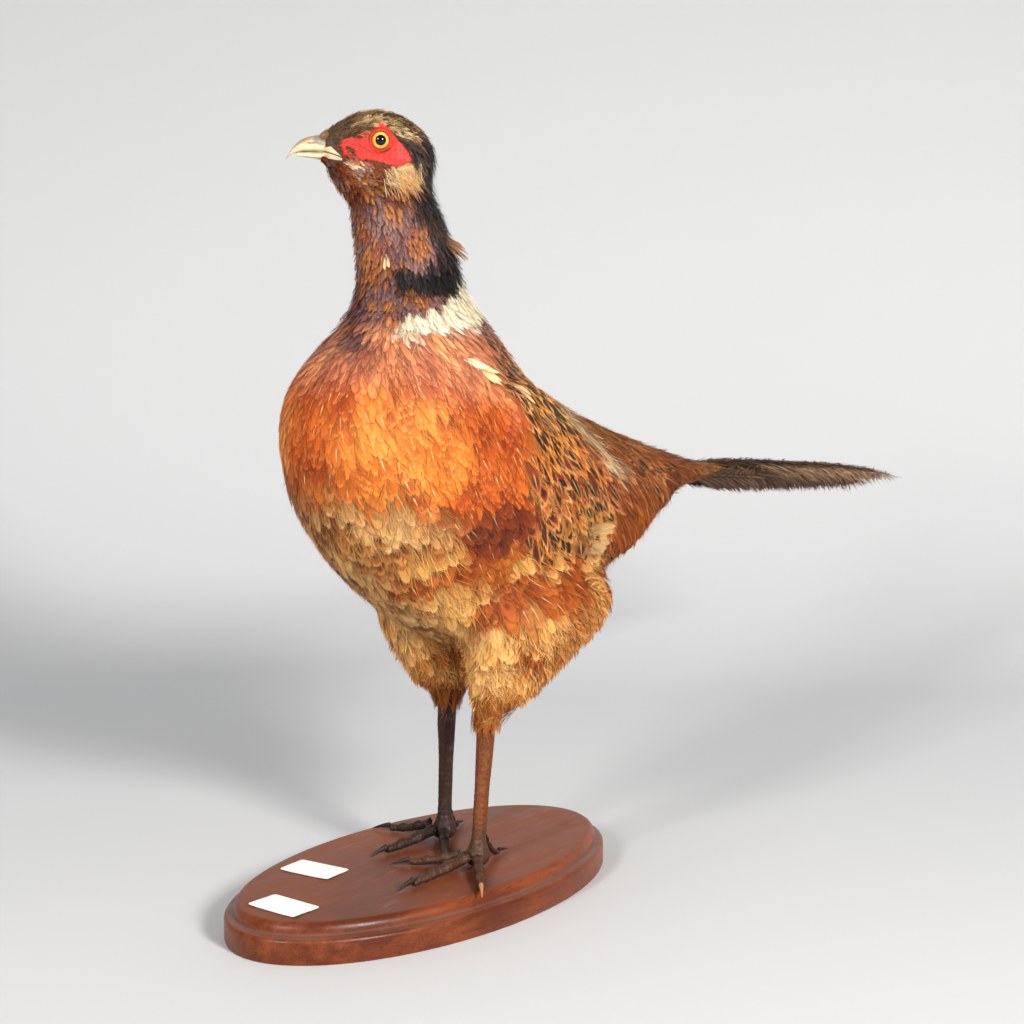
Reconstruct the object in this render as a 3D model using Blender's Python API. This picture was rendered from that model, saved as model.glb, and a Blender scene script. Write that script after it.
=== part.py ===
"""Taxidermy pheasant: a young cock standing on an oval, two-tier wooden plinth.

The plinth's underside is centred on the origin, +Z is up, the bird faces -X and its left side is -Y.
Sizes below are in millimetres and become metres where a mesh is made.
"""

import math

import bmesh
import bpy
import numpy as np
from mathutils import Matrix, Vector

MM = 0.001
GAP = 0.3  # clearance between neighbouring solids
SIDES = (("left", -1.0), ("right", 1.0))

# Plinth
PLINTH_LENGTH = 269.0
PLINTH_WIDTH = 143.0
PLINTH_HEIGHT = 20.6
# Moulding of its edge, from the underside up: (inset from the outline, height)
PLINTH_MOULDING = (
    (1.2, 0.0),
    (0.0, 1.0),
    (0.0, 11.6),
    (0.8, 13.2),
    (2.6, 13.9),
    (5.0, 14.1),
    (5.3, 16.4),
    (6.2, 18.7),
    (8.0, 20.2),
    (10.2, PLINTH_HEIGHT),
)
PLINTH_SEGMENTS = 40

# Blank paper labels on the plinth: (name, centre x, centre y, turn in degrees)
LABEL_LENGTH = 33.0
LABEL_WIDTH = 20.5
LABEL_THICK = 0.5
LABELS = (
    ("label_front", -107.0, 0.5, 2.0),
    ("label_rear", -55.0, 31.0, 8.0),
)

# Body: the bird's middle plane, and stations from the head to the tail's root.
BODY_Y = -8.5
# (back x, back z, breast x, breast z, half width, fullness towards the breast)
BODY_STATIONS = (
    (-16.0, 402.0, -38.0, 398.0, 12.0, 0.0),
    (-11.0, 387.0, -53.0, 384.0, 20.0, 0.0),
    (4.0, 362.0, -49.0, 354.0, 22.5, 0.0),
    (14.0, 338.0, -50.0, 327.0, 28.0, 0.0),
    (26.0, 322.0, -71.0, 306.0, 42.0, 0.05),
    (46.0, 302.0, -92.0, 281.0, 54.0, 0.1),
    (70.0, 280.0, -96.0, 251.0, 59.0, 0.12),
    (97.0, 267.0, -82.0, 212.0, 59.0, 0.12),
    (125.0, 257.5, -46.0, 173.0, 56.0, 0.1),
    (150.0, 249.5, 10.0, 141.0, 50.0, 0.05),
    (176.0, 242.0, 68.0, 145.0, 41.0, 0.0),
    (207.0, 233.5, 117.0, 184.0, 31.0, 0.0),
    (243.0, 225.5, 170.0, 203.0, 22.0, 0.0),
    (290.0, 219.0, 250.0, 208.0, 10.0, 0.0),
)
BODY_STEPS = 2  # rings between one station and the next
BODY_SEGMENTS = 24
# The cuts through the body: (x, z, tilt in degrees of the cut from the x axis)
HEAD_CUT = (-28.0, 372.0, 7.5)
NECK_CUT = (-23.0, 314.0, 9.4)
RUMP_CUT = (168.0, 218.0, 62.0)

# Head, in its own frame: origin between the eyes, forwards along the bill
HEAD_CENTRE = (-35.5, -4.6, 413.0)
HEAD_TURN = 44.0  # degrees to the bird's right of its body
# (forwards, crown height, underside height, half width)
HEAD_STATIONS = (
    (-26.5, -3.0, -15.0, 4.5),
    (-23.0, 4.0, -25.0, 10.0),
    (-16.0, 10.4, -31.0, 14.0),
    (-8.0, 14.6, -34.0, 16.0),
    (0.0, 16.2, -34.0, 16.0),
    (9.0, 15.4, -33.0, 14.5),
    (17.0, 12.8, -30.0, 12.2),
    (24.0, 9.2, -21.5, 9.2),
    (29.5, 4.6, -10.5, 5.8),
)
HEAD_SEGMENTS = 20
EYE_RADIUS = 5.6
EYE_OUT = 11.2  # the eye's centre, from the head's middle plane
# (forwards, upper line, lower line, half width)
UPPER_BILL = (
    (22.0, 4.6, -5.5, 6.6),
    (29.0, 3.6, -6.0, 5.8),
    (35.0, 2.6, -5.6, 4.6),
    (40.5, 0.6, -5.6, 3.4),
    (45.0, -3.6, -6.6, 2.0),
    (48.2, -8.9, -9.3, 0.5),
)
LOWER_BILL = (
    (22.0, -6.3, -11.0, 5.8),
    (30.0, -6.5, -9.4, 4.6),
    (36.0, -6.1, -8.6, 3.4),
    (43.0, -6.6, -7.5, 1.4),
)
BILL_SEGMENTS = 14

# Thighs down to the feathered end above the shank: (x, y from the middle, z, half length, half width)
THIGHS = {
    "left": (
        (46.0, 24.0, 192.0, 42.0, 18.0),
        (49.0, 31.0, 168.0, 56.0, 30.0),
        (47.0, 31.0, 150.0, 51.0, 29.0),
        (35.0, 28.0, 128.0, 31.0, 21.0),
        (25.0, 25.5, 112.0, 19.0, 15.0),
        (16.0, 24.0, 98.0, 11.5, 10.5),
        (14.0, 23.5, 86.0, 7.0, 7.0),
    ),
    "right": (
        (46.0, 24.0, 192.0, 42.0, 18.0),
        (49.0, 31.0, 168.0, 56.0, 30.0),
        (44.0, 30.0, 150.0, 48.0, 28.0),
        (39.0, 26.5, 128.0, 31.0, 21.0),
        (37.0, 24.5, 112.0, 20.0, 14.5),
        (36.5, 23.7, 98.0, 11.5, 10.0),
        (36.5, 23.7, 88.0, 7.0, 7.0),
    ),
}
THIGH_SEGMENTS = 18

# Shanks: foot and hock, each (x, y)
SHANKS = {
    "left": ((8.0, -32.0), (15.4, -32.0)),
    "right": ((33.4, 15.2), (36.4, 15.2)),
}
SHANK_TOP = 92.0
# (share of the height, half depth, half width)
SHANK_STATIONS = (
    (0.0, 5.0, 5.0),
    (0.05, 7.6, 7.2),
    (0.11, 6.6, 6.4),
    (0.2, 4.8, 3.9),
    (0.45, 4.4, 3.4),
    (0.8, 4.6, 3.6),
    (1.0, 5.4, 4.6),
)
SHANK_SEGMENTS = 10
FOOT_LIFT = 1.0  # soles above the plinth's top

# Toes: (name, direction in degrees from straight ahead towards the outside, length, half width, root's height)
TOES = {
    "left": (
        ("inner", -50.0, 28.0, 3.1, 3.2),
        ("middle", -2.0, 41.0, 3.6, 3.2),
        ("outer", 44.0, 35.0, 3.2, 3.2),
        ("rear", 190.0, 14.0, 2.5, 11.0),
    ),
    "right": (
        ("inner", -42.0, 29.0, 3.1, 3.2),
        ("middle", 7.0, 34.0, 3.6, 3.2),
        ("outer", 74.0, 26.0, 3.2, 5.0),
        ("rear", 158.0, 14.0, 2.5, 11.0),
    ),
}
TOE_START = 8.8
TOE_SEGMENTS = 8
CLAW_LENGTH = 11.0
CLAW_SEGMENTS = 8
KNUCKLES = 3

# Wings: plates that follow the body; outline (x, z) of the folded wing and its coverts
WING_THICK = 5.0
WING_OUTLINE = (
    (-3.0, 280.0),
    (16.0, 290.0),
    (60.0, 277.0),
    (110.0, 259.0),
    (160.0, 243.0),
    (194.0, 227.0),
    (180.0, 206.0),
    (138.0, 188.0),
    (92.0, 186.0),
    (46.0, 198.0),
    (18.0, 226.0),
    (3.0, 256.0),
)

# Tail: (x, height of the ridge, height of the lower edge, half width)
TAIL_UPPER = (
    (232.0, 222.0, 216.5, 7.0),
    (262.0, 221.6, 213.0, 13.0),
    (295.0, 219.5, 209.8, 16.5),
    (345.0, 213.9, 205.0, 15.0),
    (400.0, 207.3, 200.0, 11.0),
    (446.0, 199.8, 194.6, 7.0),
    (484.0, 192.6, 189.6, 3.6),
    (508.0, 186.6, 185.0, 1.0),
)
TAIL_LOWER = (
    (232.0, 215.0, 209.0, 5.0),
    (262.0, 212.0, 203.5, 11.0),
    (295.0, 208.2, 200.0, 13.0),
    (345.0, 203.6, 197.0, 11.0),
    (400.0, 198.6, 193.8, 8.0),
    (440.0, 192.6, 189.0, 4.6),
    (464.0, 186.0, 184.4, 1.2),
)
TAIL_STEPS = 2

MATERIALS = {
    "wood": ((0.16, 0.035, 0.016), 0.42, 0.0),
    "paper": ((0.85, 0.85, 0.84), 0.85, 0.0),
    "breast_feathers": ((0.48, 0.15, 0.035), 0.7, 0.0),
    "neck_feathers": ((0.07, 0.04, 0.045), 0.5, 0.0),
    "wing_feathers": ((0.22, 0.12, 0.05), 0.75, 0.0),
    "rump_feathers": ((0.28, 0.13, 0.05), 0.75, 0.0),
    "thigh_feathers": ((0.45, 0.24, 0.09), 0.8, 0.0),
    "tail_feathers": ((0.06, 0.038, 0.022), 0.7, 0.0),
    "horn": ((0.5, 0.38, 0.2), 0.35, 0.0),
    "glass_eye": ((0.75, 0.3, 0.02), 0.05, 0.0),
    "leg_scales": ((0.12, 0.045, 0.02), 0.5, 0.0),
    "claw": ((0.06, 0.04, 0.03), 0.4, 0.0),
}


# ---------------------------------------------------------------- tools


def clear_scene():
    for obj in list(bpy.data.objects):
        bpy.data.objects.remove(obj, do_unlink=True)


def material(name):
    found = bpy.data.materials.get(name)
    if found:
        return found
    colour, roughness, metallic = MATERIALS[name]
    made = bpy.data.materials.new(name)
    made.use_nodes = True
    shader = made.node_tree.nodes["Principled BSDF"]
    shader.inputs["Base Color"].default_value = (*colour, 1.0)
    shader.inputs["Roughness"].default_value = roughness
    shader.inputs["Metallic"].default_value = metallic
    made.diffuse_color = (*colour, 1.0)
    return made


def finish_mesh(name, bm, material_name):
    """The object of this mesh, given in millimetres, with its faces outwards."""
    bmesh.ops.recalc_face_normals(bm, faces=bm.faces)
    if bm.calc_volume(signed=True) < 0.0:
        bmesh.ops.reverse_faces(bm, faces=bm.faces)
    bmesh.ops.scale(bm, vec=Vector((MM, MM, MM)), verts=bm.verts)
    mesh = bpy.data.meshes.new(name)
    bm.to_mesh(mesh)
    bm.free()
    mesh.materials.append(material(material_name))
    mesh.shade_smooth()
    mesh.set_sharp_from_angle(angle=math.radians(45.0))
    obj = bpy.data.objects.new(name, mesh)
    bpy.context.scene.collection.objects.link(obj)
    return obj


def loft(name, rings, material_name, frame=None, before=None, behind=None):
    """A closed solid through rings of points, each end filled with a fan to the ring's centre.

    It keeps only what lies before one cut, and behind another, when they are given.
    """
    bm = bmesh.new()
    loops = []
    for ring in rings:
        loops.append([bm.verts.new(frame @ Vector(p) if frame else Vector(p)) for p in ring])
    count = len(loops[0])
    for low, high in zip(loops, loops[1:]):
        for i in range(count):
            j = (i + 1) % count
            bm.faces.new((low[i], low[j], high[j], high[i]))
    for loop in (loops[0], loops[-1]):
        centre = sum((v.co for v in loop), Vector()) / count
        tip = bm.verts.new(centre)
        for i in range(count):
            bm.faces.new((loop[i], loop[(i + 1) % count], tip))
    bmesh.ops.triangulate(bm, faces=bm.faces, quad_method="SHORT_EDGE")
    if before:
        slice_off(bm, before, 0.0, 1.0)
    if behind:
        slice_off(bm, behind, GAP, -1.0)
    return finish_mesh(name, bm, material_name)


def slice_off(bm, cut, offset, side):
    """Removes what lies on one side of a cut, and closes the mesh with a flat face there."""
    x, z, tilt = cut
    along = math.radians(tilt)
    rearwards = Vector((math.sin(along), 0.0, -math.cos(along)))
    place = Vector((x, 0.0, z)) + rearwards * offset
    geometry = [*bm.verts, *bm.edges, *bm.faces]
    made = bmesh.ops.bisect_plane(
        bm, geom=geometry, dist=1e-6, plane_co=place, plane_no=rearwards * side, clear_outer=True
    )
    rim = [e for e in made["geom_cut"] if isinstance(e, bmesh.types.BMEdge)]
    cap = bmesh.ops.holes_fill(bm, edges=rim)
    bmesh.ops.triangulate(bm, faces=cap["faces"])


def smooth_rows(rows, steps):
    """Rows of numbers with a smooth curve through them, as this many steps between each two."""
    count = len(rows) - 1
    return [row_at(rows, i / steps) for i in range(count * steps + 1)]


def row_at(rows, place):
    """The row at this place on the smooth curve, counted in rows from the first."""
    table = np.array(rows, float)
    last = len(table) - 1
    i = min(int(place), last - 1)
    t = place - i
    before = table[max(i - 1, 0)]
    after = table[min(i + 2, last)]
    a, b = table[i], table[i + 1]
    return 0.5 * (
        2.0 * a
        + (b - before) * t
        + (2.0 * before - 5.0 * a + 4.0 * b - after) * t**2
        + (3.0 * a - before - 3.0 * b + after) * t**3
    )


def angles(count):
    return [2.0 * math.pi * i / count for i in range(count)]


def baked(obj):
    """Applies the object's modifiers."""
    graph = bpy.context.evaluated_depsgraph_get()
    graph.update()
    mesh = bpy.data.meshes.new_from_object(obj.evaluated_get(graph), depsgraph=graph)
    obj.modifiers.clear()
    obj.data = mesh
    return obj


def grown(obj, by, name):
    """A hidden copy of the object, grown along its normals: a cutter that leaves a gap."""
    bm = bmesh.new()
    bm.from_mesh(obj.data)
    bm.normal_update()
    moves = [v.normal * by * MM for v in bm.verts]
    for vert, move in zip(bm.verts, moves):
        vert.co += move
    mesh = bpy.data.meshes.new(name)
    bm.to_mesh(mesh)
    bm.free()
    cutter = bpy.data.objects.new(name, mesh)
    bpy.context.scene.collection.objects.link(cutter)
    return hidden(cutter)


def hidden(obj):
    obj.hide_render = True
    obj.display_type = "WIRE"
    return obj


def boolean(obj, other, operation):
    """Applies a Boolean, and returns the object."""
    modifier = obj.modifiers.new(operation.title(), "BOOLEAN")
    modifier.operation = operation
    modifier.solver = "EXACT"
    modifier.object = other
    bpy.context.view_layer.update()
    return baked(obj)


def cut_clear(obj, *neighbours):
    """Cuts the object back to a gap from each neighbour."""
    for neighbour in neighbours:
        cutter = grown(neighbour, GAP, f"cut_{obj.name}_{neighbour.name}")
        boolean(obj, cutter, "DIFFERENCE")
    return obj


# ---------------------------------------------------------------- plinth


def oval(inset, height):
    along = PLINTH_LENGTH / 2.0 - inset
    across = PLINTH_WIDTH / 2.0 - inset
    return [(along * math.cos(a), across * math.sin(a), height) for a in angles(PLINTH_SEGMENTS)]


def make_plinth():
    return loft("plinth", [oval(*row) for row in PLINTH_MOULDING], "wood")


def make_labels():
    for name, x, y, turn in LABELS:
        bm = bmesh.new()
        bmesh.ops.create_cube(bm, size=1.0)
        bmesh.ops.scale(bm, vec=Vector((LABEL_WIDTH, LABEL_LENGTH, LABEL_THICK)), verts=bm.verts)
        bmesh.ops.rotate(bm, matrix=Matrix.Rotation(math.radians(turn), 3, "Z"), verts=bm.verts)
        height = PLINTH_HEIGHT + GAP + LABEL_THICK / 2.0
        bmesh.ops.translate(bm, vec=Vector((x, y, height)), verts=bm.verts)
        finish_mesh(name, bm, "paper")


# ---------------------------------------------------------------- body


def body_ring(place):
    """The body's outline at this station: an oval across the line from back to breast."""
    back_x, back_z, front_x, front_z, half_width, fullness = row_at(BODY_STATIONS, place)
    ring = []
    for a in angles(BODY_SEGMENTS):
        rise = math.cos(a)
        x = (back_x + front_x) / 2.0 + rise * (back_x - front_x) / 2.0
        z = (back_z + front_z) / 2.0 + rise * (back_z - front_z) / 2.0
        y = BODY_Y + half_width * math.sin(a) * (1.0 - fullness * rise)
        ring.append((x, y, z))
    return ring


def body_length(name, material_name, before=None, behind=None):
    """The body, or the length of it that lies before one cut and behind another."""
    count = (len(BODY_STATIONS) - 1) * BODY_STEPS + 1
    rings = [body_ring(i / BODY_STEPS) for i in range(count)]
    return loft(name, rings, material_name, before=before, behind=behind)


def make_body():
    body_length("neck", "neck_feathers", before=NECK_CUT, behind=HEAD_CUT)
    body_length("trunk", "breast_feathers", before=RUMP_CUT, behind=NECK_CUT)
    return body_length("rump", "rump_feathers", behind=RUMP_CUT)


# ---------------------------------------------------------------- head


def head_frame():
    """From the head's frame (forwards, left, up) to the part's."""
    turn = math.radians(180.0 - HEAD_TURN)
    return Matrix.Translation(Vector(HEAD_CENTRE)) @ Matrix.Rotation(turn, 4, "Z")


def profile_ring(row, segments):
    forwards, top, bottom, half_width = row
    middle, half = (top + bottom) / 2.0, (top - bottom) / 2.0
    return [(forwards, half_width * math.sin(a), middle + half * math.cos(a)) for a in angles(segments)]


def make_head():
    rings = [profile_ring(row, HEAD_SEGMENTS) for row in smooth_rows(HEAD_STATIONS, 2)]
    head = loft("head", rings, "neck_feathers", head_frame())
    throat = body_length("throat", "neck_feathers", before=HEAD_CUT)
    boolean(head, throat, "UNION")
    bpy.data.objects.remove(throat, do_unlink=True)
    return head


def make_eyes(head):
    eyes = []
    for side, sign in SIDES:
        bm = bmesh.new()
        bmesh.ops.create_uvsphere(bm, u_segments=14, v_segments=7, radius=EYE_RADIUS)
        centre = head_frame() @ Vector((0.0, -sign * EYE_OUT, 0.0))
        bmesh.ops.translate(bm, vec=centre, verts=bm.verts)
        eyes.append(finish_mesh(f"eye_{side}", bm, "glass_eye"))
    for eye in eyes:
        cut_clear(head, eye)
    return eyes


def make_bill(head):
    for name, rows in (("bill_upper", UPPER_BILL), ("bill_lower", LOWER_BILL)):
        rings = [profile_ring(row, BILL_SEGMENTS) for row in smooth_rows(rows, 2)]
        bill = loft(name, rings, "horn", head_frame())
        cut_clear(bill, head)


# ---------------------------------------------------------------- wings


def make_wing(side, sign, body):
    """The folded wing: the part of a grown body that lies inside the wing's outline."""
    name = f"wing_{side}"
    wing = grown(body, WING_THICK + GAP, name)
    wing.hide_render = False
    wing.display_type = "TEXTURED"
    reach = 120.0
    near = BODY_Y + sign * 12.0
    bm = bmesh.new()
    outline = [bm.verts.new((x, near, z)) for x, z in smooth_outline(WING_OUTLINE, 2)]
    face = bm.faces.new(outline)
    out = bmesh.ops.extrude_face_region(bm, geom=[face])
    moved = [v for v in out["geom"] if isinstance(v, bmesh.types.BMVert)]
    bmesh.ops.translate(bm, vec=Vector((0.0, sign * reach, 0.0)), verts=moved)
    prism = hidden(finish_mesh(f"outline_{name}", bm, "wing_feathers"))
    boolean(wing, prism, "INTERSECT")
    wing.data.materials.clear()
    wing.data.materials.append(material("wing_feathers"))
    for polygon in wing.data.polygons:
        polygon.material_index = 0
    return cut_clear(wing, body)


def smooth_outline(points, steps):
    """A closed smooth curve through the points."""
    count = len(points)
    wrapped = [points[(i - 1) % count] for i in range(count + 4)]
    return [tuple(row_at(wrapped, 1.0 + i / steps)) for i in range(count * steps)]


# ---------------------------------------------------------------- legs


def make_thigh(side, sign):
    rings = []
    for x, y, z, half_length, half_width in smooth_rows(THIGHS[side], 2):
        middle = BODY_Y + sign * y
        ring = []
        for a in angles(THIGH_SEGMENTS):
            ring.append((x + half_length * math.cos(a), middle + half_width * math.sin(a), z))
        rings.append(ring)
    return loft(f"thigh_{side}", rings, "thigh_feathers")


def make_shank(side):
    (foot_x, foot_y), (hock_x, hock_y) = SHANKS[side]
    bottom = PLINTH_HEIGHT + GAP + FOOT_LIFT
    rings = []
    for share, half_depth, half_width in smooth_rows(SHANK_STATIONS, 2):
        x = foot_x + (hock_x - foot_x) * share
        y = foot_y + (hock_y - foot_y) * share
        z = bottom + (SHANK_TOP - bottom) * share
        ring = []
        for a in angles(SHANK_SEGMENTS):
            ring.append((x + half_depth * math.cos(a), y + half_width * math.sin(a), z))
        rings.append(ring)
    return loft(f"shank_{side}", rings, "leg_scales")


def toe_frame(side, sign, direction):
    """At the foot's middle on the plinth's top: forwards along the toe, and up."""
    (foot_x, foot_y), _ = SHANKS[side]
    turn = math.radians(180.0 - sign * direction)
    place = Vector((foot_x, foot_y, PLINTH_HEIGHT + GAP))
    return Matrix.Translation(place) @ Matrix.Rotation(turn, 4, "Z")


def toe_rings(length, half_width, root_height):
    """A toe that leaves the foot a little raised, with a swelling at each knuckle."""
    rings = []
    count = 3 * KNUCKLES + 1
    for i in range(count):
        share = i / (count - 1)
        swell = 1.0 + 0.13 * math.cos(2.0 * math.pi * KNUCKLES * share)
        radius = half_width * (1.0 - 0.3 * share) * swell
        if i == count - 1:
            radius *= 0.8
        rise = root_height * (1.0 - share) ** 2
        x = TOE_START + length * share
        rings.append([(x, radius * math.sin(a), rise + radius * (1.0 + math.cos(a)))
                      for a in angles(TOE_SEGMENTS)])
    return rings


def claw_rings(start, half_width):
    """A curved claw that tapers down to a blunt point on the plinth."""
    rings = []
    count = 5
    root = half_width * 0.56
    for i in range(count):
        share = i / (count - 1)
        radius = root * (1.0 - 0.8 * share)
        x = start + CLAW_LENGTH * share
        middle = radius + 0.1 + root * 0.9 * (1.0 - share**2)
        rings.append([(x, 0.8 * radius * math.sin(a), middle + radius * math.cos(a))
                      for a in angles(CLAW_SEGMENTS)])
    return rings


def make_foot(side, sign, shank):
    for name, direction, length, half_width, root_height in TOES[side]:
        frame = toe_frame(side, sign, direction)
        rings = toe_rings(length, half_width, root_height)
        toe = loft(f"toe_{side}_{name}", rings, "leg_scales", frame)
        cut_clear(toe, shank)
        claw_start = TOE_START + length + GAP
        loft(f"claw_{side}_{name}", claw_rings(claw_start, half_width), "claw", frame)


# ---------------------------------------------------------------- tail


def tail_ring(row):
    """A roof-shaped section: a ridge, two sloping sides and a hollow-free underside."""
    x, ridge, lower, half_width = row
    depth = ridge - lower
    return [
        (x, BODY_Y, ridge),
        (x, BODY_Y + 0.45 * half_width, ridge - 0.16 * depth),
        (x, BODY_Y + 0.85 * half_width, ridge - 0.5 * depth),
        (x, BODY_Y + half_width, ridge - 0.85 * depth),
        (x, BODY_Y + 0.7 * half_width, lower),
        (x, BODY_Y, lower + 0.12 * depth),
        (x, BODY_Y - 0.7 * half_width, lower),
        (x, BODY_Y - half_width, ridge - 0.85 * depth),
        (x, BODY_Y - 0.85 * half_width, ridge - 0.5 * depth),
        (x, BODY_Y - 0.45 * half_width, ridge - 0.16 * depth),
    ]


def make_tail(rump):
    upper = loft("tail_upper", [tail_ring(r) for r in smooth_rows(TAIL_UPPER, TAIL_STEPS)], "tail_feathers")
    lower = loft("tail_lower", [tail_ring(r) for r in smooth_rows(TAIL_LOWER, TAIL_STEPS)], "tail_feathers")
    cut_clear(upper, rump)
    cut_clear(lower, rump, upper)


# ---------------------------------------------------------------- the whole


def main():
    clear_scene()
    make_plinth()
    make_labels()
    rump = make_body()
    head = make_head()
    make_eyes(head)
    make_bill(head)
    body = hidden(body_length("body_whole", "breast_feathers"))
    for side, sign in SIDES:
        thigh = cut_clear(make_thigh(side, sign), body)
        wing = make_wing(side, sign, body)
        cut_clear(thigh, wing)
        shank = cut_clear(make_shank(side), thigh)
        make_foot(side, sign, shank)
    make_tail(rump)


main()
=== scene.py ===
"""A mounted young cock pheasant on its oval plinth: skin, feathers, head, legs, tail and stand."""

import functools
import math

import bmesh
import bpy
import numpy as np
from bpy.props import FloatProperty, FloatVectorProperty, IntProperty, PointerProperty
from mathutils import Matrix, Vector, noise
from mathutils.bvhtree import BVHTree
from numpy.linalg import norm


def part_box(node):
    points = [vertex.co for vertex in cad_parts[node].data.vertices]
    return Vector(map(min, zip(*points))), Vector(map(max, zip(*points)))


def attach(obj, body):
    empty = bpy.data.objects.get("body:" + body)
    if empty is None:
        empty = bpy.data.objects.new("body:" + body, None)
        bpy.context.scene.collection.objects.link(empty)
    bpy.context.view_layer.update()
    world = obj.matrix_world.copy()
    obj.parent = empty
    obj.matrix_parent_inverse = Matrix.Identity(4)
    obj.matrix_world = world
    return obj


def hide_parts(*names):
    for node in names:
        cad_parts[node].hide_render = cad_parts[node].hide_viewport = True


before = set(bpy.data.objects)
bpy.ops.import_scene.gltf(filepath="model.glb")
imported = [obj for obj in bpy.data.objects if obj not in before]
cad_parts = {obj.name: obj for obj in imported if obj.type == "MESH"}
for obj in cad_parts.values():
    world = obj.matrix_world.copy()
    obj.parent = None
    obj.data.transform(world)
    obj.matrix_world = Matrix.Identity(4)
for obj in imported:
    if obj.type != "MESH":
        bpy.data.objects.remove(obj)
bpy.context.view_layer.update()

bl_info = {
    "name": "Mounted pheasant",
    "version": (1, 0, 0),
    "blender": (4, 5, 0),
    "location": "3D View > Sidebar > Pheasant",
    "description": "A mounted pheasant",
    "category": "Object",
}

MM = .001
SIDES = (("left", -1), ("right", 1))  # the bird faces -X, so its left side is at -Y
TOES = ("inner", "middle", "outer", "rear")
FLESH = ("head", "neck", "trunk", "rump", "thigh_left", "thigh_right", "wing_left", "wing_right")


# ---- small tools


def linear(code):
    """The linear colour of a hex code."""
    parts = [int(code[i:i + 2], 16) / 255 for i in (0, 2, 4)]
    return np.array([c / 12.92 if c <= .04045 else ((c + .055) / 1.055) ** 2.4 for c in parts])


def smooth(low, high, value):
    """A smooth step from 0 at low to 1 at high."""
    share = np.clip((value - low) / (high - low), 0, 1)
    return share * share * (3 - 2 * share)


def band(low, high, soft, value):
    """1 between low and high, with soft ends."""
    return smooth(low - soft, low + soft, value) * smooth(high + soft, high - soft, value)


def blend(first, second, share):
    """From the first to the second, by each row's share."""
    share = np.reshape(share, (-1, 1))
    return first * (1 - share) + second * share


def grid_faces(rows, columns, closed=False, flipped=False):
    """The quads of a grid of places kept row by row, whose rows may be rings."""
    faces = []
    for row in range(rows - 1):
        for column in range(columns if closed else columns - 1):
            a = row * columns + column
            b = row * columns + (column + 1) % columns
            quad = (a, a + columns, b + columns, b)
            faces.append(quad[::-1] if flipped else quad)
    return np.array(faces)


def unit(vectors):
    return vectors / np.maximum(norm(vectors, axis=-1, keepdims=True), 1e-9)


def box_centre(name):
    low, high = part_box(name)
    return np.array((low + high) / 2) / MM


def linked(name, data):
    """A new object of the scene."""
    obj = bpy.data.objects.new(name, data)
    bpy.context.scene.collection.objects.link(obj)
    return obj


def primitive(name, kind, **settings):
    """One of the built-in meshes, as a new object."""
    bpy.ops.object.select_all(action="DESELECT")
    getattr(bpy.ops.mesh, f"primitive_{kind}_add")(**settings)
    bpy.context.object.name = name
    return bpy.context.object


def apply_place():
    bpy.ops.object.transform_apply(location=True, rotation=True, scale=True)


def flat(values, kind=np.float32):
    return np.ascontiguousarray(values, kind).ravel()


def mesh_object(name, points, faces, material):
    """An object from points in millimetres and faces of one size."""
    mesh = bpy.data.meshes.new(name)
    mesh.vertices.add(len(points))
    place_points(mesh, points)
    mesh.loops.add(faces.size)
    mesh.loops.foreach_set("vertex_index", flat(faces, np.int32))
    mesh.polygons.add(len(faces))
    mesh.polygons.foreach_set("loop_start", np.arange(0, faces.size, faces.shape[1], dtype=np.int32))
    mesh.update(calc_edges=True)
    mesh.materials.append(material)
    mesh.shade_smooth()
    return linked(name, mesh)


def chosen(group):
    """The panel's settings of this group."""
    return getattr(bpy.context.scene, "pheasant_" + group)


def settle(obj, slot, *nodes):
    """Puts the piece on the mount and in place of its CAD nodes, which it hides. Its slot is not used."""
    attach(obj, "root")
    if nodes:
        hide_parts(*nodes)
    return obj


def copy_of(*nodes, name):
    """One object with a copy of these CAD nodes' meshes."""
    bm = bmesh.new()
    for node in nodes:
        bm.from_mesh(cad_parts[node].data)
    bmesh.ops.remove_doubles(bm, verts=bm.verts, dist=.02 * MM)
    mesh = bpy.data.meshes.new(name)
    bm.to_mesh(mesh)
    bm.free()
    return linked(name, mesh)


def remeshed(obj, voxel):
    """Fuses the object's shells into one skin."""
    fuse = obj.modifiers.new("Fuse", "REMESH")
    fuse.mode = "VOXEL"
    fuse.voxel_size = voxel * MM
    old = obj.data
    obj.data = bpy.data.meshes.new_from_object(obj.evaluated_get(bpy.context.evaluated_depsgraph_get()))
    obj.modifiers.clear()
    bpy.data.meshes.remove(old)
    return obj


def fetched(items, field, width=1, kind=np.float32):
    """One field of these items of a mesh."""
    values = np.empty(len(items) * width, kind)
    items.foreach_get(field, values)
    return values.reshape(-1, width) if width > 1 else values


def points_of(mesh):
    """The mesh's vertices and their normals, the vertices in millimetres."""
    normals = fetched(mesh.vertex_normals, "vector", 3).astype(float)
    return fetched(mesh.vertices, "co", 3).astype(float) / MM, normals


def place_points(mesh, points):
    mesh.vertices.foreach_set("co", flat(points * MM))
    mesh.update()


def spread(mesh, values, passes):
    """Averages each vertex's place with its neighbours'."""
    edges = fetched(mesh.edges, "vertices", 2, np.int32)
    first, second = edges.T
    count = np.bincount(edges.ravel(), minlength=len(mesh.vertices)).astype(float)
    for _ in range(passes):
        total = [np.bincount(first, row[second], len(row)) + np.bincount(second, row[first], len(row))
                 for row in values.T]
        values = .5 * values + .5 * np.stack(total, 1) / count[:, None]
    return values


def put_values(mesh, name, values, kind="FLOAT", field="value"):
    """Stores a value for each vertex."""
    attribute = mesh.attributes.new(name, kind, "POINT")
    attribute.data.foreach_set(field, flat(values))


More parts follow.
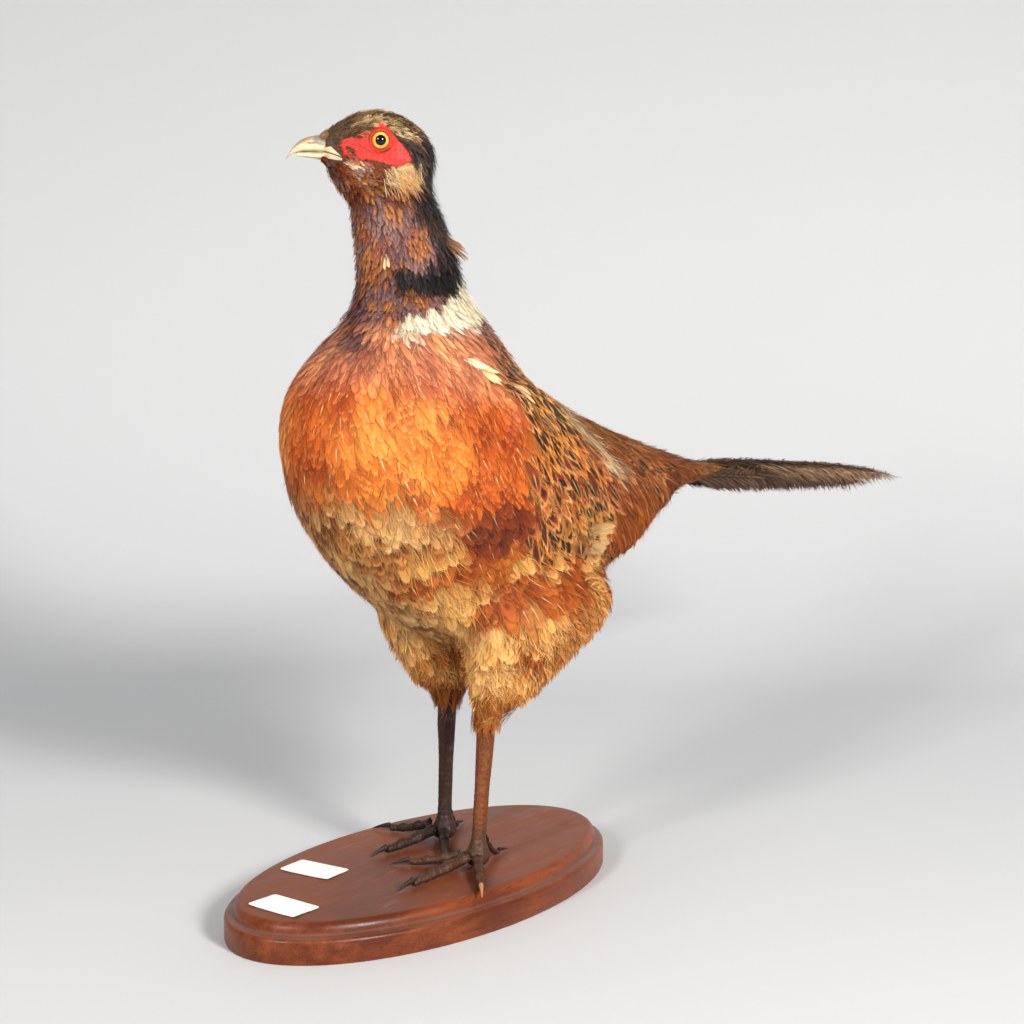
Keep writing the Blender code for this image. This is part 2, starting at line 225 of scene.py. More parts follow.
def put_colour(mesh, name, colours):
    """Stores a colour for each vertex."""
    rgba = np.ones((len(colours), 4))
    rgba[:, :colours.shape[1]] = colours
    put_values(mesh, name, rgba, "FLOAT_COLOR", "color")


def put_uv(mesh, name, places):
    """Stores a map place for each vertex."""
    corners = fetched(mesh.loops, "vertex_index", kind=np.int32)
    mesh.uv_layers.new(name=name).data.foreach_set("uv", flat(places[corners]))


# ---- shader tools


def feed(tree, socket, value):
    """Links an output to the socket, or sets the socket's own value."""
    if isinstance(value, bpy.types.NodeSocket):
        tree.links.new(value, socket)
    else:
        socket.default_value = value


def node(tree, kind, **settings):
    """A node with these properties, and with inputs set by in_ and their name or number."""
    made = tree.nodes.new("ShaderNode" + kind)
    for key, value in settings.items():
        if not key.startswith("in_"):
            setattr(made, key, value)
    for key, value in settings.items():
        if key.startswith("in_"):
            name = key[3:]
            feed(tree, made.inputs[int(name) if name.isdigit() else name.replace("_", " ")], value)
    return made


def maths(tree, operation, first, second=0, third=0):
    return node(tree, "Math", operation=operation, in_0=first, in_1=second, in_2=third).outputs[0]


def ramp(tree, value, low, high, start=0, end=1):
    """Goes smoothly from start at low to end at high."""
    return node(tree, "MapRange", interpolation_type="SMOOTHSTEP", in_0=value, in_1=low, in_2=high,
                in_3=start, in_4=end).outputs[0]


def mix(tree, share, first, second, blend="MIX"):
    made = node(tree, "Mix", data_type="RGBA", blend_type=blend, in_0=share)
    for socket, value in ((made.inputs[6], first), (made.inputs[7], second)):
        colour = isinstance(value, bpy.types.NodeSocket) or len(value) == 4
        feed(tree, socket, value if colour else (*value, 1))
    return made.outputs[2]


def speckle(tree, scale, detail=4, roughness=.6, stretch=None, turn=0, vector=None):
    """Noise on the object's own coordinates or on the vector given."""
    if vector is None:
        vector = node(tree, "TexCoord").outputs["Object"]
    if stretch is not None:
        vector = node(tree, "Mapping", in_Vector=vector, in_Scale=stretch,
                      in_Rotation=(0, 0, turn)).outputs[0]
    return node(tree, "TexNoise", in_Vector=vector, in_Scale=scale, in_Detail=detail,
                in_Roughness=roughness).outputs["Fac"]


def surface_material(name, roughness=.5, **constants):
    """A material, its tree and its Principled node with these constants."""
    material = bpy.data.materials.new(name)
    material.use_nodes = True
    tree = material.node_tree
    shader = tree.nodes["Principled BSDF"]
    shader.inputs["Roughness"].default_value = roughness
    for key, value in constants.items():
        shader.inputs[key.replace("_", " ")].default_value = value
    return material, tree, shader


def stored(tree, name):
    """A colour stored on the mesh."""
    return node(tree, "Attribute", attribute_name=name).outputs["Color"]


def dress(tree, shader, colour, height, strength, depth, rough=None):
    """Gives the shader a colour, a bump of this depth in millimetres, and a roughness."""
    tree.links.new(colour, shader.inputs["Base Color"])
    bump = node(tree, "Bump", in_Strength=strength, in_Distance=depth * MM, in_Height=height)
    tree.links.new(bump.outputs[0], shader.inputs["Normal"])
    if rough:
        tree.links.new(rough, shader.inputs["Roughness"])


def flecked_material(name, roughness, flecks, bump, tint=None, rough=None, **constants):
    """A material whose tint, by default the one stored on the mesh, is covered by layers of noise.

    Each layer has its noise, the two levels it appears between, its share and its colour. The bump
    has the number of its layer, its strength and its depth. Rough ramps the first layer's noise.
    """
    material, tree, shader = surface_material(name, roughness, **constants)
    colour = linear(tint) if tint else stored(tree, "tint")
    noises = []
    for grain, low, high, share, code in flecks:
        noises.append(speckle(tree, *grain))
        colour = mix(tree, ramp(tree, noises[-1], low, high, 0, share), colour, linear(code))
    layer, strength, depth = bump
    dress(tree, shader, colour, noises[layer], strength, depth, rough and ramp(tree, noises[0], *rough))
    return material


# ---- the bird's own directions

EYES = {side: box_centre(f"eye_{side}") for side, _ in SIDES}
HEAD = (EYES["left"] + EYES["right"]) / 2  # millimetres, halfway between the eyes
UP = np.array((0, 0, 1))
LEFTWARDS = unit((EYES["left"] - EYES["right"]) * (1, 1, 0))
FORWARDS = np.cross(LEFTWARDS, UP)
MIDDLE = box_centre("trunk")[1]  # the body's middle plane, in y
TAIL_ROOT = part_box("tail_upper")[0].x / MM
TAIL_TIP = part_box("tail_upper")[1].x / MM


def head_view(points):
    """Places as seen from the head: forwards, outwards and up, and the side, -1 for the left."""
    offset = np.atleast_2d(points) - HEAD
    across = offset @ LEFTWARDS
    return offset @ FORWARDS, np.abs(across), offset[:, 2], -np.sign(across)


def body_view(points):
    """The same as seen from the body, but backwards in place of forwards."""
    points = np.atleast_2d(points)
    across = points[:, 1] - MIDDLE
    return points[:, 0], np.abs(across), points[:, 2], np.sign(across)


def from_head(forwards, outwards, up, side=0):
    """The world's place of a place as seen from the head."""
    base = HEAD + np.multiply.outer(forwards, FORWARDS) + np.multiply.outer(up, UP)
    return base - np.multiply.outer(np.asarray(outwards) * side, LEFTWARDS)


# How feathers lie: places on the body (backwards, outwards, up), and the way they point there
BODY_LIE = (
    (-6, 0, 392, .25, 0, -1), (-50, 0, 375, .1, 0, -1), (14, 0, 335, .45, 0, -.9),
    (-62, 0, 322, -.4, 0, -.9), (-20, 28, 340, 0, .1, -1), (-85, 0, 295, -.35, .05, -.95),
    (-98, 0, 255, 0, 0, -1), (-88, 0, 220, .35, 0, -.93), (-70, 40, 290, .05, .35, -.9),
    (-75, 40, 250, .2, .3, -.95), (-40, 0, 170, .7, 0, -.7), (10, 0, 143, 1, 0, -.15),
    (80, 0, 150, .95, 0, .3), (-45, 52, 290, .4, .2, -.85), (-40, 58, 255, .45, .1, -.85),
    (-40, 52, 205, .6, 0, -.8), (30, 50, 190, .6, 0, -.75), (80, 45, 180, .6, 0, -.7),
    (40, 0, 308, .7, 0, -.7), (30, 35, 300, .75, .1, -.65), (90, 0, 270, .93, 0, -.35),
    (150, 0, 250, .95, 0, -.25), (210, 0, 233, .97, 0, -.2), (280, 0, 220, .99, 0, -.1),
    (-8, 50, 310, .5, .15, -.85), (10, 58, 275, .5, 0, -.85), (50, 60, 250, .5, 0, -.85),
    (66, 60, 215, .4, 0, -.9), (110, 50, 240, .7, 0, -.7), (115, 55, 205, .6, 0, -.8),
    (180, 40, 225, .9, 0, -.4), (120, 35, 195, .2, 0, -.95), (170, 35, 205, .5, 0, -.85),
    (230, 25, 215, .95, 0, -.25),
    (45, 55, 165, .45, 0, -.85), (10, 55, 150, .25, 0, -.95), (40, 40, 120, 0, -.1, -1),
    (15, 30, 120, .1, -.1, -1), (30, 20, 130, .3, 0, -.9),
)
# The same as seen from the head (forwards, outwards, up)
HEAD_LIE = (
    (28, 0, 6, -.9, 0, .5), (18, 0, 13, -.95, 0, .3), (5, 0, 16, -1, 0, 0),
    (-10, 0, 13, -.95, 0, -.4), (-20, 0, 5, -.6, 0, -.8), (-25, 0, -12, -.1, 0, -1),
    (20, 9, 4, -.95, 0, .3), (0, 12, 8, -1, 0, 0), (-12, 13, 2, -.8, 0, -.6),
    (20, 9, -10, -.9, 0, -.3), (8, 14, -16, -.8, 0, -.5), (-12, 15, -13, -.4, 0, -.9),
    (-20, 10, -20, -.2, 0, -1), (18, 4, -25, -.7, 0, -.7), (5, 0, -33, -.3, 0, -.95),
)


def lie(points, normals):
    """The way feathers point along the skin."""
    near = smooth(46, 30, norm(points - HEAD - (3, 0, -6), axis=1))
    way = np.zeros_like(points)
    for view, guides, share in ((body_view, BODY_LIE, 1 - near), (head_view, HEAD_LIE, near)):
        *places, side = view(points)
        places = np.stack(places, 1)
        table = np.array(guides, float)
        gaps = ((places[:, None, :] - table[None, :, :3]) ** 2).sum(2)
        weights = 1 / (gaps + 9) ** 2
        local = unit(weights @ table[:, 3:])
        if view is body_view:
            world = local * np.stack((np.ones_like(side), side, np.ones_like(side)), 1)
        else:
            world = (np.outer(local[:, 0], FORWARDS) - (local[:, 1] * side)[:, None] * LEFTWARDS
                     + np.outer(local[:, 2], UP))
        way += world * share[:, None]
    way -= (way * normals).sum(1, keepdims=True) * normals
    return unit(way)


class Surface:
    """A surface to lay feathers on, in millimetres."""

    def __init__(self, obj):
        self.points, self.normals = points_of(obj.data)
        obj.data.calc_loop_triangles()
        self.faces = fetched(obj.data.loop_triangles, "vertices", 3, np.int32)
        self.tree = BVHTree.FromPolygons(self.points.tolist(), self.faces.tolist())

    def nearest(self, points):
        """The nearest places on it, and the smoothed normals there."""
        found = [self.tree.find_nearest(p) for p in points.tolist()]
        places = np.array([f[0] for f in found])
        corners = self.faces[[f[2] for f in found]]
        weights = 1 / (norm(self.points[corners] - places[:, None], axis=2) + .05)
        normals = (self.normals[corners] * weights[..., None]).sum(1)
        return places, unit(normals)

    def hit(self, origin, direction):
        """Where a line from outside first meets it, or None."""
        place = self.tree.ray_cast(Vector(origin), Vector(direction))[0]
        return None if place is None else np.array(place)

    def scatter(self, count, rng):
        """Random places spread evenly over it, with their normals."""
        corners = self.points[self.faces]
        crossed = np.cross(corners[:, 1] - corners[:, 0], corners[:, 2] - corners[:, 0])
        areas = norm(crossed, axis=1)
        picked = rng.choice(len(areas), count, p=areas / areas.sum())
        a, b = rng.random((2, count, 1))
        folded = (a + b) > 1
        a, b = np.where(folded, 1 - a, a), np.where(folded, 1 - b, b)
        weights = np.concatenate((1 - a - b, a, b), 1)[..., None]
        return ((corners[picked] * weights).sum(1),
                unit((self.normals[self.faces[picked]] * weights).sum(1)))


@functools.cache
def skin_surface():
    return Surface(bpy.data.objects["skin"])


def thinned(points, gaps, rng):
    """Which places to keep, so that none lies within its gap of another."""
    cell = gaps.max()
    cells = {}
    kept = []
    keys = np.floor(points / cell).astype(int)
    near = [(i, j, k) for i in (-1, 0, 1) for j in (-1, 0, 1) for k in (-1, 0, 1)]
    squares = gaps ** 2
    for n in rng.permutation(len(points)):
        x, y, z = points[n]
        a, b, c = keys[n]
        if all((px - x) ** 2 + (py - y) ** 2 + (pz - z) ** 2 >= squares[n]
               for i, j, k in near for px, py, pz in cells.get((a + i, b + j, c + k), ())):
            cells.setdefault((a, b, c), []).append((x, y, z))
            kept.append(n)
    return np.array(kept)


# ---- plumage

# Each kind of feather: its coat, the gap between roots, length, width and lift of the tip in millimetres,
# how ruffled its barbs are, the size of its dark centre, how often its shaft is pale, how wide its rim is,
# how many loose barbs it has and their length, and the colours of its vane from dark to light, of its rim
# and of its centre
TRAITS = ("gap", "length", "width", "lift", "loose", "blotch", "shaft", "margin", "wisps", "wisp_length")
COLOURS = ("base", "edge", "centre")
VARIED = ("bars", "blotch", "shaft", "chance")
KINDS = (
    "copper breast 2.75 21 7.5 1 .6 0 .9 .3 .8 12/8b320e 9f4012 b04d17 c05d1e/b5531c cc6b28/d8803a",
    "breast_top breast 2.75 20 6 1.1 .7 0 1 .2 2.5 13/ac5d45 c6724e e08a5a fbaa6e/b46e56 d38c62/e09a58",
    "gorget breast 2.8 15 6 1.5 .7 .2 .3 .4 1.5 10/563c38 6c463e 845248 9a603e/6c5250 4c3434/a8623a",
    "golden breast 2.75 21 8 1 .6 0 1 .35 .8 12/b75a19 cc6e21 de832e ef973e/e38934 f3a44e/f4b060",
    "belly belly 3.3 23 10 2 .7 .5 .4 .5 2.5 14/663214 874c21 a96a34 c78d4f/bc8349 96612e/5a3018 703c1c",
    "belly_pale belly 3.3 23 9 2 .9 .2 .2 .4 3 14/a5743e c09054 d4a76b/d8b178 b88a53/946c3e",
    "flank belly 3.4 25 12 2.1 .5 .25 .8 .3 1.5 15/6b2508 81350b 9b4610 b4621d/b16322 8c4012/64260a",
    "flank_dark belly 3.4 24 11 2 .5 .3 .6 .2 1.2 14/571e09 6a270c 813611/853e18 672b11/3a1a16",
    "flank_buff belly 3.4 26 12 3.2 1.3 .1 .5 .3 5 17/b87a36 d0964c e4b168/ecc481 d09a54/a05e28",
    "thigh thighs 3.5 25 12 3 1.4 .1 .4 .3 5 16/a55c22 bc7533 d49046 e3a763/e7b472 c07e3d/8c5222",
    "thigh_red thighs 3.4 24 12 3 1.3 .2 .5 .2 4 15/752809 8e3a0c a44e17/af5e21 8e3c14/642a0c",
    "thigh_low thighs 2.9 17 8 2.4 1.4 0 .2 .2 6 12/833b11 994e16 ad6324/bc7332 814016/7c441c",
    "mantle back 3.5 21 10 2 .7 .62 .5 .7 .8 9/622d1e 763720 954d2d/eaa265 bb7540 ffc493/30180f 402218",
    "scapular wings 3.6 32 10 2.2 .8 .66 .4 .75 0 0/632b12 7d3816 974c1f b56929/"
    "eea64b c27831 ffc26c/28140e 3a1c0f",
    "covert wings 3.8 32 11 2.2 .8 .5 .5 .7 0 0/5f2611 722d12 924019 aa5a1f/"
    "e19347 b26a2e f2ac66/2a1610 4a2410",
    "covert_low wings 3.8 25 10 2.2 .7 .5 .5 .6 0 0/763c16 915621 a96f30/c8904c ac7436/1a100c 34200f",
    "streak back 3 27 5 2 1.1 0 .6 .3 4 15/9c7c58 b8996e d0b48a/dcc49c b09068/8a6c48",
    "back_olive back 3 25 6 1.8 1 .35 .4 .4 2.5 14/6a3214 80441b 975725/aa652f 80451b/4c321a 604020",
    "rump rump 3.2 24 7 2 .9 .3 .3 .3 2 14/5c280f 713713 87451b/975120 713715/442a14",
    "spangle rump 3.8 18 9 2 .6 .6 .2 .5 0 0/7f431a 935721 a6662b/b87d3a 9b5f28/140c0a 20120c",
    "rufous rump 3.2 32 10 3.4 1.4 0 .3 .1 3 18/6e2b0b 894013 a3581d/b36b2a 7d3613/5c280c",
    "tail_covert rump 3.2 19 7 1.4 .8 .2 .2 .4 2 16/633b1c 7d4f28 966238/9e6837 6a4325/382414",
    "crown head 1.15 7.4 2.4 1.3 .8 .4 .4 .6 1 5/2c1a12 4c3020 74502f a07a48/b08c58 5c4024/24160f",
    "brow head 1.15 6.4 2 1.3 .9 0 .4 .5 0 0/94703f c8a874 f0dcb0/fff0cc c8a870/8a6c48",
    "ear head 1.1 11 2.3 2.2 1.1 0 .5 .4 3 9/b47c3c dcac68 f4d8a0 fff0cc/fff2d4 d09c5c/b98448",
    "lore head 1.1 4.6 1.3 .8 .9 .2 .4 .5 0 0/3a2418 644530 94704a/ac8c5c 684c30/241a14",
    "chin head 1.3 7.4 2.6 1.5 1 .3 .3 .3 1.2 5/3c140c 6a2810 8c421c a8602c/84401c 44200f/24100a",
    "cheek head 1.3 8 2.8 1.5 1 .4 .4 .4 1 5/2e1814 50281e 783f28 a8683a/a87048 5c3830/24140f",
    "throat neck 1.8 8 3.2 2 .9 .3 .4 .4 1 7/653732 824437 9c5432 b26a35/845c60 965856 6e4648/341a18",
    "ginger neck 1.8 8 3.2 2 .9 .1 .8 .3 1 7/834821 9a5a28 b06f39/a97145 885435/6c3a1c",
    "lilac neck 1.8 8 3.4 2 .9 .2 .1 .4 .8 7/654342 77524d 8b665c/917375 775e5a/382828",
    "nape neck 1.8 13 3.2 2.8 1.1 .3 .2 .4 3 11/171413 27201d 392c28/493e3b 2f2726/0a0808",
    "patch neck 1.8 9 3.2 1.8 .8 .3 0 .3 1.5 8/100d0d 191414 251c18/2e2321 191414/080606",
    "collar neck 1.8 9 3 1.3 .6 0 .5 .2 2.5 8/ecdcb0 f8eccc fff6e0/fffaec f0dfb4/e4cc9c",
)
PLUMAGE = {}
for kind_row in KINDS:
    kind_sizes, *kind_colours = kind_row.split("/")
    kind_name, kind_coat, *kind_sizes = kind_sizes.split()
    PLUMAGE[kind_name] = (kind_coat, [float(size) for size in kind_sizes], kind_colours)


def drift(points, size, seed):
    """Smooth random numbers from 0 to 1, in patches of about this size."""
    rng = np.random.default_rng(seed)
    ways = unit(rng.normal(0, 1, (7, 3))) * rng.uniform(.7, 1.5, (7, 1)) * (2.2 / size)
    waves = np.sin(points @ ways.T + rng.uniform(0, 6.28, 7)).sum(1)
    return np.clip(.5 + waves * .19, 0, 1)


def plumage_shares(points):
    """Each kind of feather's share of each place. Later kinds cover earlier ones."""
    x, out, z, side = body_view(points)
    fore, head_out, head_up, _ = head_view(points)
    shares = {}

    def paint(kind, mask, *ovals):
        """Covers the places with this kind by the mask, within each oval if any are given."""
        for oval in ovals:
            paint(kind, spot(*oval) * mask)
        if not ovals:
            for other in shares:
                shares[other] = shares[other] * (1 - mask)
            shares[kind] = shares.get(kind, 0) + mask

    def spot(back, up, wide, tall):
        """1 within an oval on the side of the body."""
        return smooth(1.15, .65, np.sqrt(((x - back) / wide) ** 2 + ((z - up) / tall) ** 2))

    paint("copper", np.ones(len(points)))
    paint("breast_top", smooth(276, 300, z + .1 * (x + 40)))
    paint("gorget", smooth(300, 307, z + .15 * (x + 60)) * smooth(-45, -58, x + .5 * out))
    # Golden on the breast: partly the feathers' own gold, partly a painted highlight where the light falls
    paint("golden", .66 * spot(-68, 258, 36, 34) * smooth(6, 26, out))
    low = z + 20 * (drift(points, 15, 3) - .5) - np.interp(x, (-90, -72, -52, -30), (240, 229, 214, 208))
    paint("flank", smooth(12, -2, low) * .7)
    paint("belly", smooth(2, -14, low))
    paint("belly_pale", smooth(.45, .62, drift(points, 9, 5)) * smooth(6, -16, low))
    sides = smooth(-62, -48, x) * smooth(20, 34, out - .25 * np.minimum(x, 0))
    paint("flank", sides * smooth(218, 206, z - .1 * x) * smooth(160, 174, z + .5 * (x + 20)))
    paint("flank_dark", sides * spot(-10, 212, 28, 13))
    paint("flank_buff", smooth(16, 28, out) * smooth(.25, .45, drift(points, 7, 11)),
          (-18, 166, 20, 20), (12, 190, 9, 4), (44, 186, 7, 7), (80, 178, 14, 14), (-42, 198, 12, 7))
    paint("thigh", smooth(158, 146, z - .25 * (x - 20) + 14 * smooth(20, 0, out)))
    paint("flank_buff", smooth(14, 26, out),
          (26, 152, 20, 9), (-6, 144, 15, 11), (14, 128, 14, 8))
    paint("thigh_red", smooth(.3, .5, drift(points, 8, 14)),
          (9, 104, 16, 13), (24, 138, 8, 8), (52, 150, 12, 10))
    paint("thigh_low", smooth(118, 106, z))
    wing_edge = 8 + 8 * smooth(265, 215, z)
    paint("mantle", smooth(-8, 2, x - .25 * (300 - z)) * smooth(262, 276, z + .28 * x))
    winged = smooth(-4, 4, x - wing_edge) * smooth(184, 194, z + .05 * (x - 60)) * smooth(18, 30, out)
    paint("scapular", winged * smooth(200, 176, x) * smooth(304, 292, z + .2 * x))
    paint("covert", winged * smooth(256, 243, z - .15 * (x - 40)))
    paint("covert_low", winged * spot(62, 205, 30, 13))
    paint("back_olive", smooth(56, 84, x) * smooth(252, 262, z + .17 * x))
    paint("streak", band(-8, 5, 4, z - 262 + .95 * (x - 73)) * band(60, 118, 6, x) * smooth(24, 34, out))
    paint("rump", smooth(150, 178, x))
    paint("spangle", smooth(12, 24, out),
          (133, 234, 12, 7), (158, 218, 10, 8), (176, 226, 8, 5))
    paint("rufous", smooth(-4, 6, x - 88 - .65 * np.maximum(z - 197, -6))
          * smooth(5, -5, z - 229 + .26 * (x - 105)))
    paint("tail_covert", smooth(222, 240, x))
    # The neck and its half collar
    neck = smooth(311, 321, z + .1 * (x + 20))
    paint("throat", neck)
    paint("lilac", neck * smooth(.35, .72, drift(points, 7, 23)))
    paint("ginger", neck * smooth(.62, .82, drift(points, 3.6, 29)) * smooth(-22, -36, x))
    paint("ginger", neck * spot(-52, 347, 7, 12))
    black_edge = -14 - .57 * (z - 345)
    paint("nape", neck * smooth(-4, 4, x - black_edge) * smooth(322, 330, z))
    patch_low = 332 - .1 * (x + 25)
    ahead = np.maximum(-34 - x, 0)
    paint("patch", band(patch_low - .1 * ahead, 348, 2, z) * smooth(8, 14, out - .1 * ahead)
          * smooth(-56, -48, x))
    collar = 317.5 + .14 * (x + 53) + 4 * smooth(-24, 2, x)
    tall = 4.2 + 6 * smooth(-34, 0, x)
    round_neck = np.maximum(smooth(18, 23, out), smooth(-28, -20, x))
    round_neck *= np.maximum(side < 0, smooth(-36, -28, x))
    paint("collar", round_neck * band(collar - tall, collar + tall, 1.2, z) * smooth(32, 26, x))
    # The head
    skull = smooth(-36, -30, head_up - .55 * np.minimum(fore + 6, 0))
    paint("cheek", skull)
    paint("chin", skull * smooth(2, 10, fore) * smooth(-11, -16, head_up))
    jaw = skull * smooth(-9, -14, head_up)
    paint("lilac", jaw * smooth(.5, .7, drift(points, 4.5, 41)))
    paint("chin", jaw * smooth(.5, .66, drift(points, 5, 43)))
    paint("ginger", jaw * smooth(.66, .8, drift(points, 3, 47)))
    paint("crown", skull * smooth(-6, 0, head_up + .62 * (fore + 4) * (fore < -4)))
    paint("nape", skull * smooth(-15, -20, fore) * smooth(8, -2, head_up))
    streak = np.abs(head_up - 9.5 + .045 * (fore + 2) ** 2 * (fore < -2))
    paint("brow", skull * smooth(4, 1.6, streak) * band(-17, 8, 2, fore)
          * smooth(.3, .6, drift(points, 3.5, 31)) * smooth(6, 9, head_out))
    paint("brow", skull * smooth(.68, .8, drift(points, 2.6, 37)) * smooth(2, 6, head_up) * .7)
    paint("lore", skull * smooth(15, 19, fore) * smooth(-9, -4, head_up))
    pale_spot = np.sqrt(((fore - 11.5) / 3.4) ** 2 + ((head_up + 12.8) / 1.6) ** 2)
    paint("brow", skull * smooth(1.2, .7, pale_spot) * smooth(5, 8, head_out))
    stripe = np.abs(head_up - 4 - 1.25 * (fore + 9)) * .62
    paint("nape", skull * smooth(2.6, 1.2, stripe) * band(-24, -10, 2, fore) * smooth(5, 9, head_out))
    ear = np.sqrt(((fore + 13 + .35 * (head_up + 18)) / 8) ** 2 + ((head_up + 18.5) / 7.5) ** 2)
    paint("ear", skull * smooth(1.1, .8, ear) * smooth(6, 9, head_out))
    return shares


def plumage(points, rng=None, jitter=0):
    """Each place's feather, blended from its kinds."""
    moved = points if rng is None else points + rng.normal(0, 1, points.shape) * jitter
    shares = plumage_shares(moved)
    weights = np.stack([shares.get(kind, np.zeros(len(points))) for kind in PLUMAGE], 1)
    weights /= weights.sum(1, keepdims=True)
    looks = {"kind": weights.argmax(1)}
    for column, key in enumerate(TRAITS):
        looks[key] = weights @ np.array([sizes[column] for _, sizes, _ in PLUMAGE.values()])
    for number, key in enumerate(COLOURS):
        level = np.full(len(points), .5)
        if rng is not None:
            level = drift(points, 9, 41 + number) * .85 + rng.random(len(points)) * .15
        looks[key] = np.zeros((len(points), 3))
        for column, (_, _, colours) in enumerate(PLUMAGE.values()):
            choices = np.array([linear(code) for code in colours[number].split()])
            place = level * (len(choices) - 1)
            for channel in range(3):
                blended = np.interp(place, range(len(choices)), choices[:, channel])
                looks[key][:, channel] += weights[:, column] * blended
    return looks


# ---- feathers

# Outlines of a vane, as (where it is widest, width at the root, fullness of the tip, roundness of the tip)
OUTLINES = {"round": (.58, .3, 2.4, .5), "lance": (.42, .35, 1.5, .85), "quill": (.3, .4, 5, .7)}


def outline(shape, along):
    widest, root, fullness, roundness = OUTLINES[shape]
    rise = root + (1 - root) * np.sin(np.pi / 2 * np.clip(along / widest, 0, 1))
    fall = np.clip((along - widest) / (1 - widest), 0, 1) ** fullness
    return rise * (1 - fall) ** roundness


def make_vane(shape, blades, rng, reach=.24, thick=1.6, missing=.04, ragged=.06, web=0):
    """The pattern of one feather: a closed web, if it has one, and blades that end on the outline.

    Without a web the blades leave the shaft, which lies on them as a strip.
    Gives places along (0 to 1) and across (-1 to 1), rises, nearness to the rim, and triangles.
    """
    corners, faces = [], []

    def add(*places):
        corners.extend(places)
        return len(corners) - len(places)

    def turned(first, triangles, flip):
        for a, b, c in triangles:
            faces.append((first + a, first + c, first + b) if flip else (first + a, first + b, first + c))

    if web:
        rows = (0, .2, .4, .58, .74, .87, .95)
        for place in rows:
            wide = web * float(outline(shape, np.array(place)))
            near = float(smooth(.7, 1, place))
            add(*[(place - .03 * abs(s), s * wide, 0, max(abs(s) * web, near)) for s in (-1, 0, 1)])
        for row in range(len(rows) - 1):
            for column in range(2):
                turned(row * 3 + column, ((0, 3, 4), (0, 4, 1)), False)
        for column in range(4):
            low, high = ((column + k - 2) / 2 * wide for k in (0, 1))
            first = add((.945, low, 0, .9), (1 - .05 * rng.random(), (low + high) * .45, 0, 1),
                        (.945, high, 0, .9))
            turned(first, ((0, 1, 2),), False)
    for side in (-1, 1):
        for n in range(blades):
            if 1 < n < blades - 2 and rng.random() < missing:
                continue
            share = n / (blades - 1)
            lift = rng.normal(0, 1)
            if web:
                start, stop = .2 + .7 * share, .2 + .7 * share + .8 / blades
                end = min(start + reach * (1 - .5 * share), .99)
                out = float(outline(shape, np.array(end))) * (1 + rng.normal(0, ragged))
                low, high = (web * float(outline(shape, np.array(t))) for t in (start, stop))
                first = add((start - .03, side * low, 0, web), (stop - .03, side * high, 0, web),
                            (end, side * out, lift * .5, 1))
                turned(first, ((0, 1, 2),), side < 0)
                continue
            start = .04 + .88 * share
            end = min(start + (reach + rng.normal(0, .02)) * (1 - .75 * share), .998)
            out = float(outline(shape, np.array(end))) * (1 + rng.normal(0, ragged))
            middle = start + .42 * (end - start)
            half = .5 * thick / blades
            tip = float(smooth(.72, 1, end))
            first = add((start, 0, 0, tip * .6),
                        (middle - half, side * out * .56, lift * .5, max(.45, tip * .8)),
                        (middle + half * .9, side * out * .5, lift * .5, max(.45, tip * .85)),
                        (end, side * out, lift, 1))
            turned(first, ((0, 2, 1), (1, 2, 3)), side < 0)
    if not web:
        for k, (place, wide) in enumerate(((0, .07), (.35, .05), (.7, .03), (.97, 0))):
            first = add(*[(place, side * wide, .35, 0) for side in ((-1, 1) if wide else (1,))])
            if k:
                turned(first - 2, ((0, 2, 1), (1, 2, 3)) if wide else ((0, 2, 1),), False)
    return (*np.array(corners).T, np.array(faces))


def make_strand():
    """The pattern of a loose barb: a thin tapering strip."""
    along = np.array((0, 0, .3, .3, .65, .65, 1))
    across = np.array((-1, 1, -.8, .8, -.5, .5, 0))
    faces = np.array(((0, 2, 1), (1, 2, 3), (2, 4, 3), (3, 4, 5), (4, 6, 5)))
    return along, across, np.zeros(7), np.full(7, .3), faces


def spines(surface, starts, lengths, turns, stations, sink, lifts):
    """Shafts that follow the coat's lie: places, normals and ways at their stations."""
    step = (lengths / (stations - 1))[:, None]
    places, normals = surface.nearest(starts)
    kept = [], [], []
    for k in range(stations):
        way = lie(places, normals)
        side = np.cross(normals, way)
        way = unit(way * np.cos(turns)[:, None] + side * np.sin(turns)[:, None])
        rise = (sink + (lifts - sink) * k / (stations - 1))[:, None]
        for store, value in zip(kept, (places + normals * rise, normals, way)):
            store.append(value)
        ahead = places + way * step
        nearest, fresh = surface.nearest(ahead)
        held = norm(nearest - places, axis=1) < .6 * step[:, 0]
        places = np.where(held[:, None], ahead, nearest)
        normals = np.where(held[:, None], normals, fresh)
    return [np.stack(store, 1) for store in kept]


def lay_vanes(shafts, vane, widths, loose, cup=.16):
    """The vertices of feathers with this vane along these shafts."""
    places, normals, ways = shafts
    along, across, rise, _, _ = vane
    last = places.shape[1] - 1
    station = np.clip(along, 0, .9999) * last
    low = station.astype(int)
    share = (station - low)[None, :, None]

    def between(values):
        return values[:, low] * (1 - share) + values[:, low + 1] * share

    centre, normal = between(places), unit(between(normals))
    side = unit(np.cross(normal, between(ways)))
    half = widths[:, None] / 2
    height = rise[None] * loose[:, None] * half * .22 - cup * np.abs(across[None]) ** 2 * half
    return centre + side * (across[None] * half)[..., None] + normal * height[..., None]


